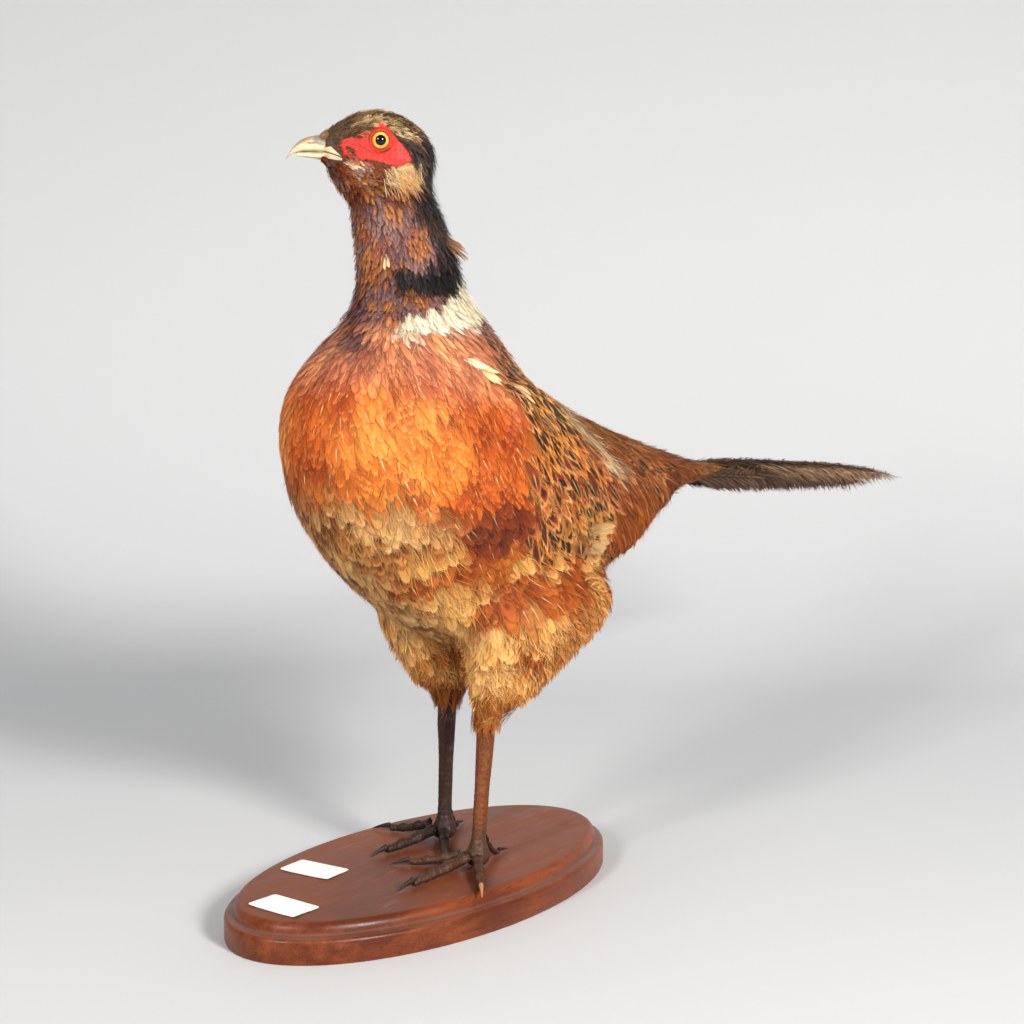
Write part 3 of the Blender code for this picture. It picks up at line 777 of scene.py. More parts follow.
def along_line(points, line):
    """Where places lie by the nearest part of a line: its gap, how far along it is, which step it is
    on, the way there and the offset from the line. The line's length comes last."""
    starts, steps = line[:-1], np.diff(line, axis=0)
    lengths = norm(steps, axis=1)
    share = np.clip(((points[:, None] - starts) * steps).sum(2) / lengths ** 2, 0, 1)
    feet = starts + share[..., None] * steps
    gaps = norm(points[:, None] - feet, axis=2)
    best = gaps.argmin(1)
    rows = np.arange(len(points))
    reached = np.concatenate(((0,), np.cumsum(lengths)))
    far = reached[best] + share[rows, best] * lengths[best]
    ways = steps[best] / lengths[best, None]
    return gaps[rows, best], far, best, ways, points - feet[rows, best], reached[-1]


def unwrap(points):
    """Map places: round the body, and along it from head to tail."""
    _, far, _, ways, offset, length = along_line(points[:, (0, 2)], np.array(BACKBONE))
    high = ways[:, 0] * offset[:, 1] - ways[:, 1] * offset[:, 0]
    return np.stack((np.arctan2(points[:, 1] - MIDDLE, high) / (2 * np.pi) + .5, far / length), 1)


PATCH = .003  # the size of one feather on the unwrap
# The line the unwrap follows: (back, up)
BACKBONE = ((HEAD[0] - 8, HEAD[2] + 12), (-24, 385), (-22, 345), (-24, 312), (-20, 270), (25, 225), (90, 215),
            (170, 215), (260, 214), (TAIL_TIP + 20, 190))


def vane_mesh(name, parts, material):
    """One mesh of parts, each with points, faces, vane map, baking map, rims and looks."""
    points, faces, maps, patches, rims, looks = zip(*parts)
    firsts = np.cumsum([0] + [len(p) for p in points])
    faces = np.concatenate([f + first for f, first in zip(faces, firsts)])
    obj = mesh_object(name, np.concatenate(points), faces, material)
    put_uv(obj.data, "OFBake", np.concatenate(patches))
    put_uv(obj.data, "Vane", np.concatenate(maps))
    for key in (*COLOURS, "traits"):
        put_colour(obj.data, key, np.concatenate([own[key] for own in looks]))
    put_values(obj.data, "rim", np.concatenate(rims))
    return obj


def join_coat(name, batches, material):
    """One mesh of batches of small feathers."""
    parts = []
    for vertices, vane, looks, roots in batches:
        along, across, _, rim, triangles = vane
        count, size = vertices.shape[:2]
        if count:
            faces = (triangles + np.arange(count)[:, None, None] * size).reshape(-1, 3)
            local = np.tile(np.stack((across * .5 + .5, along), 1), (count, 1))
            patches = np.repeat(unwrap(roots), size, 0) * (1 - 2 * PATCH) + PATCH * local
            rims = (rim ** (1 / (1 + 1.5 * looks["margin"][:, None]))).ravel()
            looks = {**looks, "traits": np.stack([looks[key] for key in VARIED], 1)}
            looks = {key: np.repeat(looks[key], size, 0) for key in (*COLOURS, "traits")}
            parts.append((vertices.reshape(-1, 3), faces, local, patches, rims, looks))
    return vane_mesh(name, parts, material)


def bare_places(points):
    """Where no feather grows."""
    fore, out, up, _ = head_view(points)
    inside = np.array([in_wattle(f, u, .85) for f, u in zip(fore, up)])
    gape = (fore > 19) & (up < gape_top(fore)) & (up > -10.6) & (out > 1.5)
    return (inside & (out > 5)) | gape | (fore > 29)


def shown_looks(points, normals, rng):
    """The looks of feathers rooted here, taken from near their tips."""
    reach = plumage(points)["length"] * .72
    return plumage(points + lie(points, normals) * reach[:, None], rng, 1.3)


@functools.cache
def feather_roots():
    """Every feather's root and looks, spaced by what grows there."""
    settings = chosen("plumage")
    rng = np.random.default_rng(settings.seed)
    surface = skin_surface()
    points, normals = surface.scatter(settings.tries, rng)
    more, more_normals = surface.scatter(settings.tries * 3, rng)
    near = norm(more - HEAD, axis=1) < 80
    points = np.concatenate((points, more[near]))
    normals = np.concatenate((normals, more_normals[near]))
    looks = shown_looks(points, normals, rng)
    kept = thinned(points, looks["gap"] * settings.spacing, rng)
    near = norm(points[kept] - HEAD, axis=1) < 45
    bare = np.zeros(len(kept), bool)
    bare[near] = bare_places(points[kept][near])
    bare |= (normals[kept, 0] > .6) & (points[kept, 0] > TAIL_ROOT - 20)
    for name, _ in SIDES:
        end, down, _ = knee(name)
        along = (points[kept] - end) @ down
        bare |= (along > -3) & (points[kept, 2] < 120)
        looks["length"][kept] *= np.interp(along, (-26, -6), (1, .5)) ** (points[kept, 2] < 135)
    kept = kept[~bare]
    return points[kept], {key: values[kept] for key, values in looks.items()}


def bill_feathers(vane, rng):
    """Small feathers on the root of the bill."""
    batches = []
    places = (("bill_upper", "lore", (26.5, 31.5), (0, 5), 260, 3.2, (-.9, .45)),
              ("bill_lower", "chin", (26, 31.5), (-12, -8.4), 260, 5, (-.85, -.5)))
    for node_name, kind, fores, ups, count, length, (back, rise) in places:
        seat = copy_of(node_name, name="seat")
        surface = Surface(seat)
        bpy.data.objects.remove(seat)
        fore, up = rng.uniform(*fores, count), rng.uniform(*ups, count)
        side = rng.choice((-1, 1), count)
        roots = from_head(fore, rng.uniform(0, 4.6, count), up)
        roots -= (rng.uniform(0, 4.6, count) * side)[:, None] * LEFTWARDS
        roots, normals = surface.nearest(roots)
        fore = head_view(roots)[0]
        held = fore < 31.5 - 2 * rng.random(count)
        roots, normals = roots[held], normals[held]
        count = len(roots)
        ways = FORWARDS * back + UP * rise + rng.normal(0, .15, (count, 3))
        share = np.linspace(0, 1, 5)[None, :, None]
        long = (length * rng.uniform(.7, 1.3, count))[:, None, None]
        lines = roots[:, None] + (ways[:, None] * share + normals[:, None] * (.3 * share - .12)) * long
        looks = plumage(np.tile(from_head(22, 5, 2 if kind == "lore" else -16, 1), (count, 1)), rng)
        level = .5 + rng.random((count, 1))
        for key in COLOURS:
            looks[key] = looks[key] * level
        looks.update(bars=np.zeros(count), chance=rng.random(count))
        shafts = (lines, np.repeat(normals[:, None], 5, 1), unit(np.gradient(lines, axis=1)))
        widths = np.full(count, 1.3 if kind == "lore" else 2.2)
        batches.append((lay_vanes(shafts, vane, widths, looks["loose"]), vane, looks, roots))
    return batches


# ---- the wattle's outline

# Corners of the bare red skin round the eye as seen from the head: forwards and up
WATTLE_EDGE = (
    (21.8, -1), (14, 2.4), (6.6, 5.4), (3, 8.6), (.3, 9.8), (-3, 7.6), (-6.2, 3.6), (-12, -2.6),
    (-18.8, -9), (-14.5, -12.2), (-8.9, -13.8), (-1, -12.4), (6.5, -10.4), (12, -11.6), (17.2, -10.4),
    (20.5, -6),
)


def gape_top(fore):
    """The upper line of the horn along the mouth."""
    return np.interp(fore, (18.5, 20, 25.3, 28.8), (-9.2, -8, -2.2, 2.4))


@functools.cache
def wattle_reach():
    """The wattle's outline: angles and distances."""
    corners = np.array(WATTLE_EDGE)
    count = len(corners)
    steps = np.arange(0, count, .05)
    low = steps.astype(int)
    share = (steps - low)[:, None]
    a, b, c, d = (corners[(low + k) % count] for k in (-1, 0, 1, 2))
    curve = .5 * (2 * b + (c - a) * share + (2 * a - 5 * b + 4 * c - d) * share ** 2
                   + (3 * b - a - 3 * c + d) * share ** 3)
    angle = np.arctan2(curve[:, 1], curve[:, 0])
    order = angle.argsort()
    return angle[order], np.hypot(curve[:, 0], curve[:, 1])[order]


def wattle_radius(angle):
    angles, radii = wattle_reach()
    wobble = .018 * np.sin(17 * angle + 1) + .016 * np.sin(29 * angle) + .012 * np.sin(53 * angle + 2)
    return np.interp(angle, angles, radii, period=2 * np.pi) * (1 + wobble)


def in_wattle(fore, up, share=1):
    return np.hypot(fore, up) < share * wattle_radius(math.atan2(up, fore))


# ---- materials of the coat


@functools.cache
def vane_group():
    """A vane's colour."""
    group = bpy.data.node_groups.new("vane", "ShaderNodeTree")
    for name, default in (("Bar count", 7), ("Barb count", 46), ("Barb contrast", .3), ("Painted root shade", .5)):
        socket = group.interface.new_socket(name, in_out="INPUT", socket_type="NodeSocketFloat")
        socket.default_value = default
    for name, kind in (("Color", "Color"), ("Height", "Float")):
        group.interface.new_socket(name, in_out="OUTPUT", socket_type="NodeSocket" + kind)
    given, made = group.nodes.new("NodeGroupInput"), group.nodes.new("NodeGroupOutput")
    times, minus, fused = (functools.partial(maths, group, operation)
                           for operation in ("MULTIPLY", "SUBTRACT", "MULTIPLY_ADD"))
    place = node(group, "SeparateXYZ", in_0=node(group, "UVMap", uv_map="Vane").outputs[0])
    sideways = fused(place.outputs[0], 2, -1)
    across = maths(group, "ABSOLUTE", sideways)
    along = place.outputs[1]
    base, edged, centre = (stored(group, key) for key in COLOURS)
    traits = node(group, "Attribute", attribute_name="traits")
    bars, blotch, shaft = node(group, "SeparateColor", in_0=traits.outputs["Color"]).outputs[:3]
    chance = traits.outputs["Alpha"]
    rim = node(group, "Attribute", attribute_name="rim").outputs["Fac"]
    slant = fused(across, -.22, along)
    seed = times(chance, 61)
    # The barbs slant, and fan out at the tip
    fan = times(maths(group, "ARCTAN2", times(sideways, .3), minus(along, .5)), .4)
    fanned = fused(minus(fan, slant), ramp(group, along, .45, .7), slant)
    barb_place = fused(fanned, given.outputs["Barb count"], seed)
    barbs = node(group, "TexNoise", noise_dimensions="1D", in_W=barb_place, in_Detail=2).outputs["Fac"]
    mottle = node(group, "TexNoise", noise_dimensions="2D", in_Vector=place.inputs[0].links[0].from_socket,
                  in_Scale=7, in_Detail=2).outputs["Fac"]
    # The dark centre, broken up along the barbs
    high = times(minus(along, .66), 3)
    far = maths(group, "SQRT", maths(group, "ADD", times(high, high), times(across, across)))
    far = fused(minus(barbs, .5), .5, far)
    inside = ramp(group, minus(far, blotch), -.14, .1, 1, 0)
    inside = times(inside, ramp(group, blotch, .05, .3))
    colour = mix(group, inside, base, centre)
    # Bars across the vane
    wave = maths(group, "SINE", times(slant, times(given.outputs[0], 6.2832)))
    barred = ramp(group, fused(mottle, .7, wave), .1, .7)
    colour = mix(group, times(barred, bars), colour, centre)
    # The rim
    ragged = fused(minus(barbs, .5), .35, rim)
    colour = mix(group, times(ramp(group, ragged, .62, .98), .85), colour, edged)
    # The pale shaft, seen on the outer half
    taper = fused(along, .3, across)
    quill = times(ramp(group, taper, .22, .3, 1, 0), ramp(group, along, .45, .6))
    pale = mix(group, .7, base, (1, .72, .3))
    colour = mix(group, times(quill, shaft), colour, pale)
    # Light and dark barbs, lighter and darker feathers, and painted shade towards the root, where the
    # feathers overlap
    level = fused(minus(barbs, .5), given.outputs[2], 1)
    level = times(level, fused(chance, .16, .92))
    root = times(ramp(group, along, .25, .8, 1, 0), given.outputs[3])
    level = times(level, minus(1, root))
    shade = node(group, "CombineColor", in_0=level, in_1=level, in_2=level).outputs[0]
    colour = mix(group, 1, colour, shade, "MULTIPLY")
    group.links.new(colour, made.inputs["Color"])
    group.links.new(barbs, made.inputs["Height"])
    return group


def feather_material(name, bar_count=7, barb_count=46, contrast=.5, roughness=.55, root=.4):
    material, tree, shader = surface_material(name, roughness, Specular_IOR_Level=.2)
    # root sets the strength of the painted shade towards each feather's root
    vane = node(tree, "Group", node_tree=vane_group(), in_0=bar_count, in_1=barb_count, in_2=contrast,
                in_3=root)
    dress(tree, shader, vane.outputs["Color"], vane.outputs["Height"], .35, .25)
    return material


def skin_material():
    material, tree, shader = surface_material("down", .9)
    fluff = speckle(tree, 900, 3, .7)
    shade = ramp(tree, fluff, .3, .7, .25, .75)
    dark = node(tree, "CombineColor", in_0=shade, in_1=shade, in_2=shade).outputs[0]
    dress(tree, shader, mix(tree, 1, stored(tree, "coat"), dark, "MULTIPLY"), fluff, .6, .5)
    return material


# ---- skin


def coat_depth(points):
    """How deep the skin lies under the coat's outside."""
    _, _, up, _ = body_view(points)
    near = smooth(44, 26, norm(points - HEAD - (4, 0, -5), axis=1))
    depth = 2.2 - 1.4 * smooth(312, 330, up)
    depth = depth * (1 - near) + .4 * near
    legs = smooth(140, 108, up)
    depth = depth * (1 - legs) + 2.4 * legs
    return depth + 1.8 * smooth(204, 222, points[:, 0])


KNEE = 13  # how far above the shank's solid the feathers end, in millimetres


@functools.cache
def knee(name):
    """Where this leg's feathers end, the way down the shank, and the shank's radius."""
    line, radii = axis_of(f"shank_{name}")
    line = line[line[:, 2].argsort()]
    down = unit(line[0] - line[-1])
    return line[-1] - down * KNEE, down, radii.mean()


def taper_skirts(points):
    """Draws the lower end of each thigh in to its shank."""
    points = points.copy()
    for name, _ in SIDES:
        end, down, _ = knee(name)
        offset = points - end
        along = offset @ down
        from_line = offset - np.outer(along, down)
        far = norm(from_line, axis=1)
        share = smooth(-20, -1, along) * (far < 24)
        points -= from_line * (share * (1 - np.minimum(3 / np.maximum(far, 3), 1)))[:, None]
    return points


def make_skin():
    """One skin for all the flesh, inside it by the coat's depth."""
    skin = remeshed(copy_of(*FLESH, name="skin"), 2.2)
    mesh = skin.data
    place_points(mesh, spread(mesh, points_of(mesh)[0], 6))
    points, normals = points_of(mesh)
    place_points(mesh, taper_skirts(points - normals * coat_depth(points)[:, None]))
    place_points(mesh, spread(mesh, points_of(mesh)[0], 2))
    mesh.shade_smooth()
    mesh.materials.append(skin_material())
    put_colour(mesh, "coat", plumage(points_of(mesh)[0])["base"])
    return settle(skin, "breast_feathers", *FLESH)


# ---- coats

# Each coat: its record slot, the shape of its vanes, how many blades they have, how far these reach,
# how much of the vane is a closed web, how uneven the feathers are, and their roughness
COATS = {
    "breast": ("breast_feathers", "round", 22, .26, .6, .6, .5),
    "belly": ("breast_feathers", "round", 20, .26, .6, .8, .6),
    "thighs": ("thigh_feathers", "lance", 20, .34, 0, 1, .65),
    "back": ("wing_feathers", "lance", 18, .24, .5, .9, .6),
    "wings": ("wing_feathers", "lance", 20, .16, .7, 1.3, .55),
    "rump": ("rump_feathers", "lance", 18, .3, .4, 1, .6),
    "neck": ("neck_feathers", "round", 10, .3, .4, 1, .42),
    "head": ("neck_feathers", "lance", 8, .28, 0, 1, .6),
}
VARIANTS = 6  # different vanes in each coat


# Single feathers out of place: root, turn, length, width, lift of the tip, how many, and their colours
STRAYS = {
    "back": (((-28, -58, 304), .68, 20, 8, 3.6, 1, "f4e2b8 e6c890 c89a60"),
             ((-18, -58, 298), .4, 15, 5, 3.4, 4, "e8cc98 d8b070 a87840"),
             ((6, -60, 288), .3, 17, 5, 3, 5, "dcbc88 c49858 986838")),
    "thighs": (((-3, -34, 136), .7, 26, 6, 4, 22, "dca866 ecc890 a86a30"),
               ((-6, -30, 122), .5, 24, 6, 4, 20, "b0702c d09850 80481c"),
               ((30, -46, 118), 0, 26, 8, 5, 16, "b8803c e0b878 8c5424")),
    "neck": (((-15, -25, 364), .5, 19, 3, 7.5, 9, "8a5a3a c0906a 5c3624"),
             ((-52, -22, 355), 0, 8, 2.6, 3, 3, "dcc08c c89860 8a5a30")),
}


def one_look(count, colours, rng):
    """Looks with these colours of the vane, the rim and the centre."""
    looks = {key: np.tile(linear(code), (count, 1)) for key, code in zip(COLOURS, colours.split())}
    looks.update(dict.fromkeys(("bars", "blotch", "shaft", "margin"), np.zeros(count)))
    looks.update(chance=rng.random(count), loose=np.full(count, .8))
    return looks


def cuffs(vane, rng):
    """Feathers that hang from each thigh round the shank."""
    batches = []
    for name, _ in SIDES:
        end, down, radius = knee(name)
        count = 110
        angles = rng.uniform(0, 2 * np.pi, count)
        ring = np.stack((np.cos(angles), np.sin(angles), np.zeros(count)), 1)
        roots = []
        for way, up in zip(ring, rng.uniform(2, 16, count)):
            centre = end - down * up
            found = skin_surface().hit(centre + way * 40, -way)
            roots.append(centre + way * 4 if found is None else found)
        roots = np.array(roots)
        tips = end + down * rng.uniform(-2, 6, (count, 1))
        tips += ring * (radius + rng.uniform(.8, 3.4, (count, 1)))
        share = np.linspace(0, 1, 6)[None, :, None]
        places = roots[:, None] * (1 - share) + tips[:, None] * share + ring[:, None] * np.sin(np.pi * share)
        ways = unit(np.gradient(places, axis=1))
        normals = np.repeat(ring[:, None], 6, 1)
        normals = unit(normals - (normals * ways).sum(2, keepdims=True) * ways)
        looks = plumage(roots - (0, 0, 8), rng)
        looks.update(bars=np.zeros(count), chance=rng.random(count))
        vertices = lay_vanes((places, normals, ways), vane, rng.uniform(2, 4, count), looks["loose"])
        batches.append((vertices, vane, looks, roots))
    return batches


def make_coat(name):
    settings = chosen("plumage")
    slot, shape, blades, reach, web, uneven, roughness = COATS[name]
    roots, looks = feather_roots()
    mine = np.isin(looks["kind"], [i for i, row in enumerate(PLUMAGE.values()) if row[0] == name])
    roots = roots[mine]
    looks = {key: values[mine] for key, values in looks.items()}
    rng = np.random.default_rng(settings.seed + 1 + list(COATS).index(name))
    count = len(roots)
    looks["chance"] = rng.random(count)
    looks["bars"] = np.zeros(count)
    looks["shaft"] = looks["shaft"] * (rng.random(count) < .4) * rng.uniform(.5, 1.1, count)

    def varied(amount, low=-1, high=1):
        return 1 + amount * uneven * rng.uniform(low, high, count)

    looks["blotch"] *= varied(.4, -1.4, .8)
    looks["margin"] *= varied(.6, -1, .8)
    lengths = looks["length"] * settings.length * varied(.2)
    widths = looks["width"] * settings.width * varied(.18)
    lifts = looks["lift"] * varied(.4)
    turns = rng.normal(0, .16, count) * uneven
    shafts = spines(skin_surface(), roots, lengths, turns, 6, -.5, lifts)
    picked = rng.integers(VARIANTS, size=count)
    batches = []
    for variant in range(VARIANTS):
        thin = name == "thighs"
        vane = make_vane(shape, blades, rng, reach, 1.1 if thin else 1.6, .1 if thin else .04, .1, web)
        own = picked == variant
        loose = looks["loose"][own] * settings.ruffle
        vertices = lay_vanes([s[own] for s in shafts], vane, widths[own], loose, .1)
        batches.append((vertices, vane, {k: v[own] for k, v in looks.items()}, roots[own]))
    if name == "thighs":
        batches += cuffs(vane, rng)
    if name == "head":
        batches += bill_feathers(vane, rng)
    for start, turn, length, width, lift, many, colours in STRAYS.get(name, ()):
        spot, fan = (.8, .2) if many < 12 else (5, .5)
        starts = np.array(start) + rng.normal(0, spot, (many, 3)) * (many > 1)
        lengths = length * rng.uniform(.75, 1.1, many)
        turns = turn + rng.normal(0, fan, many) * (many > 1)
        shafts = spines(skin_surface(), starts, lengths, turns, 7, .6, lift * rng.uniform(.6, 1.2, many))
        own = one_look(many, colours, rng)
        vertices = lay_vanes(shafts, vane, np.full(many, width), own["loose"])
        batches.append((vertices, vane, own, starts))
    material = feather_material(f"{name}_plumage", barb_count=26 if blades > 10 else 14,
                                contrast=.95, roughness=roughness, root=.3)
    coat = join_coat(f"coat_{name}", batches, material)
    return settle(coat, slot)


def make_wisps():
    settings = chosen("plumage")
    rng = np.random.default_rng(settings.seed + 19)
    roots, looks = feather_roots()
    number, length = np.array([sizes[-2:] for _, sizes, _ in PLUMAGE.values()])[looks["kind"]].T
    number = np.floor(number + rng.random(len(roots))).astype(int)
    picked = np.repeat(np.arange(len(roots)), number)
    count = len(picked)
    starts = roots[picked] + rng.normal(0, 1, (count, 3)) * looks["gap"][picked, None] * .6
    surface = skin_surface()
    starts, normals = surface.nearest(starts)
    starts = starts + lie(starts, normals) * (looks["length"][picked] * .35)[:, None]
    lengths = length[picked] * rng.uniform(.6, 1.4, count)
    shafts = spines(surface, starts, lengths, rng.normal(0, .3, count), 5, .8,
                    looks["lift"][picked] * rng.uniform(.9, 2.2, count))
    own = {key: looks[key][picked] for key in COLOURS}
    pick_edge = (rng.random(count) < .5)[:, None]
    own = dict.fromkeys(COLOURS, np.where(pick_edge, own["edge"], own["base"]))
    own.update(dict.fromkeys(("bars", "blotch", "shaft", "margin"), np.zeros(count)))
    own["chance"] = rng.random(count)
    strand = make_strand()
    vertices = lay_vanes(shafts, strand, np.clip(lengths * .03, .14, .42), np.zeros(count), 0)
    material = feather_material("wisp_plumage", roughness=.6)
    coat = join_coat("coat_wisps", [(vertices, strand, own, starts)], material)
    return settle(coat, "thigh_feathers")


# ---- wattle, eyes and bill

EYE_RADIUS = (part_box("eye_left")[1].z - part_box("eye_left")[0].z) / 2 / MM
# The lids: distances from the eye's axis, and how far out from its centre
LIDS = ((4.5, 3.1), (4.7, 3.5), (5, 3.6), (5.35, 3.35), (5.8, 2.6), (6.4, 1.9))
WATTLE_SPOKES = 260
WATTLE_RINGS = 44


def wattle_points(side):
    """The wattle's rings: places, bumps, and where they lie."""
    surface = skin_surface()
    centre = EYES["left" if side < 0 else "right"]
    fore_0, out_0, up_0, _ = (float(v[0]) for v in head_view(centre))
    lid_radii, lid_rises = np.array(LIDS).T
    angles = np.linspace(0, 2 * np.pi, WATTLE_SPOKES, endpoint=False)
    reach = wattle_radius((angles + np.pi) % (2 * np.pi) - np.pi)
    points, bumps, shares = [], [], []

    def spot(radius, angle):
        return fore_0 + radius * math.cos(angle), up_0 + radius * math.sin(angle)

    def skin_out(radius, angle):
        fore, up = spot(radius, angle)
        found = surface.hit(from_head(fore, 40, up, side), LEFTWARDS * side)
        return None if found is None else float(head_view(found)[1][0])

    base = []
    for angle, far in zip(angles, reach):
        column = [skin_out(radius, angle) for radius in np.linspace(7.4, max(far, 7.8), 12)]
        for i, value in enumerate(column):
            if value is None:
                column[i] = column[i - 1]
        base.append(column)
    base = np.array(base)
    for _ in range(4):
        base = .5 * base + .25 * (np.roll(base, 1, 0) + np.roll(base, -1, 0))
    for ring in range(WATTLE_RINGS):
        share = ring / (WATTLE_RINGS - 1)
        for angle, far, column in zip(angles, reach, base):
            radius = 4.5 + (far - 4.5) * share
            place = np.clip((radius - 7.4) / max(far - 7.4, .4), 0, 1)
            level = float(np.interp(place, np.linspace(0, 1, 12), column))
            fore, up = spot(radius, angle)
            cells = noise.voronoi(Vector((fore, up * 1.15, 3 * side)) * 1.15)[0]
            bump = 1 - min(1, cells[0] * 1.3)
            rim = smooth(1, .86, share)
            folds = .35 * math.sin(.9 * up - .35 * fore) + .2 * math.sin(2.1 * fore)
            raised = level + .5 + .4 * bump * rim + .5 * folds * rim - 1.2 * (1 - rim)
            lid = out_0 + float(np.interp(radius, lid_radii, lid_rises)) + .12 * math.sin(angle * 34)
            off_lid = smooth(5.5, 7, radius)
            points.append(from_head(fore, lid * (1 - off_lid) + raised * off_lid, up, side))
            bumps.append(bump * smooth(5.6, 6.8, radius))
            shares.append((radius, fore, up))
    return np.array(points), np.array(bumps), np.array(shares)


def make_wattles():
    material = flecked_material(
        "wattle", .5, (((2600, 2, .6), .45, .75, .55, "e8503c"),), (0, .5, .15),
        Subsurface_Weight=.06, Subsurface_Scale=.001, Specular_IOR_Level=.3)
    red = np.array(chosen("head").wattle)
    for name, side in SIDES:
        points, bumps, shares = wattle_points(side)
        radius, fore, up = shares.T
        faces = grid_faces(WATTLE_RINGS, WATTLE_SPOKES, True, side < 0)
        obj = mesh_object(f"wattle_{name}", points, faces, material)
        patchy = .8 + .4 * drift(points, 3, 43)
        # Painted shade: the red is darker in the crevices between the bumps
        tint = np.tile(red, (len(points), 1)) * ((.66 + .5 * bumps) * patchy)[:, None]
        tint = blend(tint, linear("c0342a"), smooth(6.2, 5.4, radius))
        tint = blend(tint, linear("20100c"), smooth(4.95, 4.65, radius))
        # Painted shade: the wattle is darker towards its front and bottom
        painted_shade = smooth(6, 16, fore) * smooth(-4, -9, up) * .45
        put_colour(obj.data, "tint", tint * (1 - painted_shade)[:, None])
        settle(obj, "neck_feathers")


def eye_material():
    material, tree, shader = surface_material("glass_eye", .1, Specular_IOR_Level=.1, Coat_Weight=.5,
                                              Coat_Roughness=.02)
    place = node(tree, "Attribute", attribute_name="disc").outputs["Vector"]
    flat = node(tree, "VectorMath", operation="LENGTH", in_0=place).outputs["Value"]
    spokes = node(tree, "VectorMath", operation="NORMALIZE", in_0=place).outputs["Vector"]
    streak = speckle(tree, 9, 3, .6, vector=spokes)
    fleck = speckle(tree, 1.6, 2, .6, vector=place)
    iris = mix(tree, ramp(tree, streak, .35, .65), linear("d88a26"), linear("f2c258"))
    iris = mix(tree, ramp(tree, fleck, .45, .7, 0, .4), iris, linear("b8520e"))
    iris = mix(tree, ramp(tree, flat, 3.7, 4.5), iris, linear("8a4a14"))
    colour = mix(tree, ramp(tree, flat, 2.6, 2.85, 1, 0), iris, (.002, .002, .002))
    colour = mix(tree, ramp(tree, flat, 4.6, 4.8), colour, linear("2c120a"))
    tree.links.new(colour, shader.inputs["Base Color"])
    return material


def make_eyes():
    material = eye_material()
    for name, side in SIDES:
        obj = primitive(f"glass_eye_{name}", "uv_sphere", segments=64, ring_count=48,
                        radius=(EYE_RADIUS - .1) * MM, location=[c * MM for c in EYES[name]])
        apply_place()
        bpy.ops.object.shade_smooth()
        points, _ = points_of(obj.data)
        offset = points - EYES[name]
        outwards = offset @ (-side * LEFTWARDS)
        # The cornea stands a little proud of the ball
        flat = norm(offset - np.outer(outwards, -side * LEFTWARDS), axis=1)
        bulge = .35 * smooth(4.4, 0, flat) * (outwards > 0)
        place_points(obj.data, points + np.outer(bulge, -side * LEFTWARDS))
        disc = np.stack((offset @ FORWARDS, offset[:, 2], np.where(outwards > 0, 0, 9)), 1)
        put_values(obj.data, "disc", disc, "FLOAT_VECTOR", "vector")
        obj.data.materials.append(material)
        settle(obj, "glass_eye", f"eye_{name}")


def refined(name, voxel, passes, *nodes, shape=None):
    """A smoothed copy of these CAD nodes, reshaped and fused into one."""
    obj = copy_of(*nodes, name=name)
    if shape:
        place_points(obj.data, shape(points_of(obj.data)[0]))
    obj = remeshed(obj, voxel)
    place_points(obj.data, spread(obj.data, points_of(obj.data)[0], passes))
    obj.data.shade_smooth()
    return obj


def make_bill():
    material = flecked_material(
        "bill_horn", .3, (((420, 4, .65, (1, 1, 2.2)), .4, .75, .5, "8a6a42"),
                           ((2200, 2, .5), .5, .8, .35, "f3e8cc")),
        (1, .25, .08), rough=(.3, .8, .26, .5), Coat_Weight=.4, Coat_Roughness=.15)
    for part, nodes in (("top", "bill_upper"), ("under", "bill_lower")):
        obj = refined(f"bill_{part}", .36, 3, nodes)
        points, normals = points_of(obj.data)
        if part == "under":  # the halves close
            points[:, 2] += .9 * smooth(.1, .6, normals[:, 2])
        fore, out, up, _ = head_view(points)
        # Its root runs back under the feathers
        back = 9 * smooth(32, 29.8, fore)
        narrow = 1 - .3 * back / 9
        up_there = (up + 3) * narrow - 3 - .12 * back
        points = from_head(fore - back, out * narrow, up_there, head_view(points)[3])
        fore = fore - back
        ivory, brown, dark, tip = (linear(c) for c in ("e0cda4", "6a4e38", "33241c", "e8d6ac"))
        tint = np.tile(ivory, (len(points), 1))

        rusty, grey = (linear(c) for c in ("9c6230", "5c4a48"))
        top_line = np.interp(fore, (28, 34, 40, 44, 48), (3, 3.2, 1.6, -1.2, -6))
        tint = blend(tint, brown, .85 * smooth(3.6, .4, top_line - up))
        tint = blend(tint, rusty, .55 * smooth(2.2, .6, np.abs(top_line - up - 2.6)) * smooth(34, 37, fore))
        tint = blend(tint, tip, .5 * smooth(41, 46.5, fore))
        tint = blend(tint, grey, .8 * smooth(1.3, .7, np.hypot((fore - 29.5) / 5, (up - .4) / 2.6)))
        if part == "top":
            slit = np.sqrt(((fore - 35.4 - .2 * up) / 2.6) ** 2 + ((up + 1.3) / .75) ** 2)
            shield = np.sqrt(((fore - 34.6) / 4.2) ** 2 + ((up - .7) / 2.2) ** 2)
            dent = (.3 * smooth(1.2, .4, shield) - .5 * smooth(1.3, .6, slit)) * (out > 1.5)
            # Painted shade in the nostril slit
            tint = blend(tint, dark, .6 * smooth(1.1, .5, slit) * (out > 1.5))
            edge = smooth(1, .2, np.abs(up + 5.2 + .22 * np.maximum(fore - 39, 0) ** 1.25))
            tint = blend(tint, brown, .5 * edge)
            points += normals * dent[:, None]
        else:
            tint = blend(tint, brown, .6 * smooth(-7.2, -6.4, up))
            tint = blend(tint, brown, .35 * smooth(-8.2, -9.4, up))
        place_points(obj.data, points)
        put_colour(obj.data, "tint", tint)
        obj.data.materials.append(material)
        settle(obj, "horn", nodes)


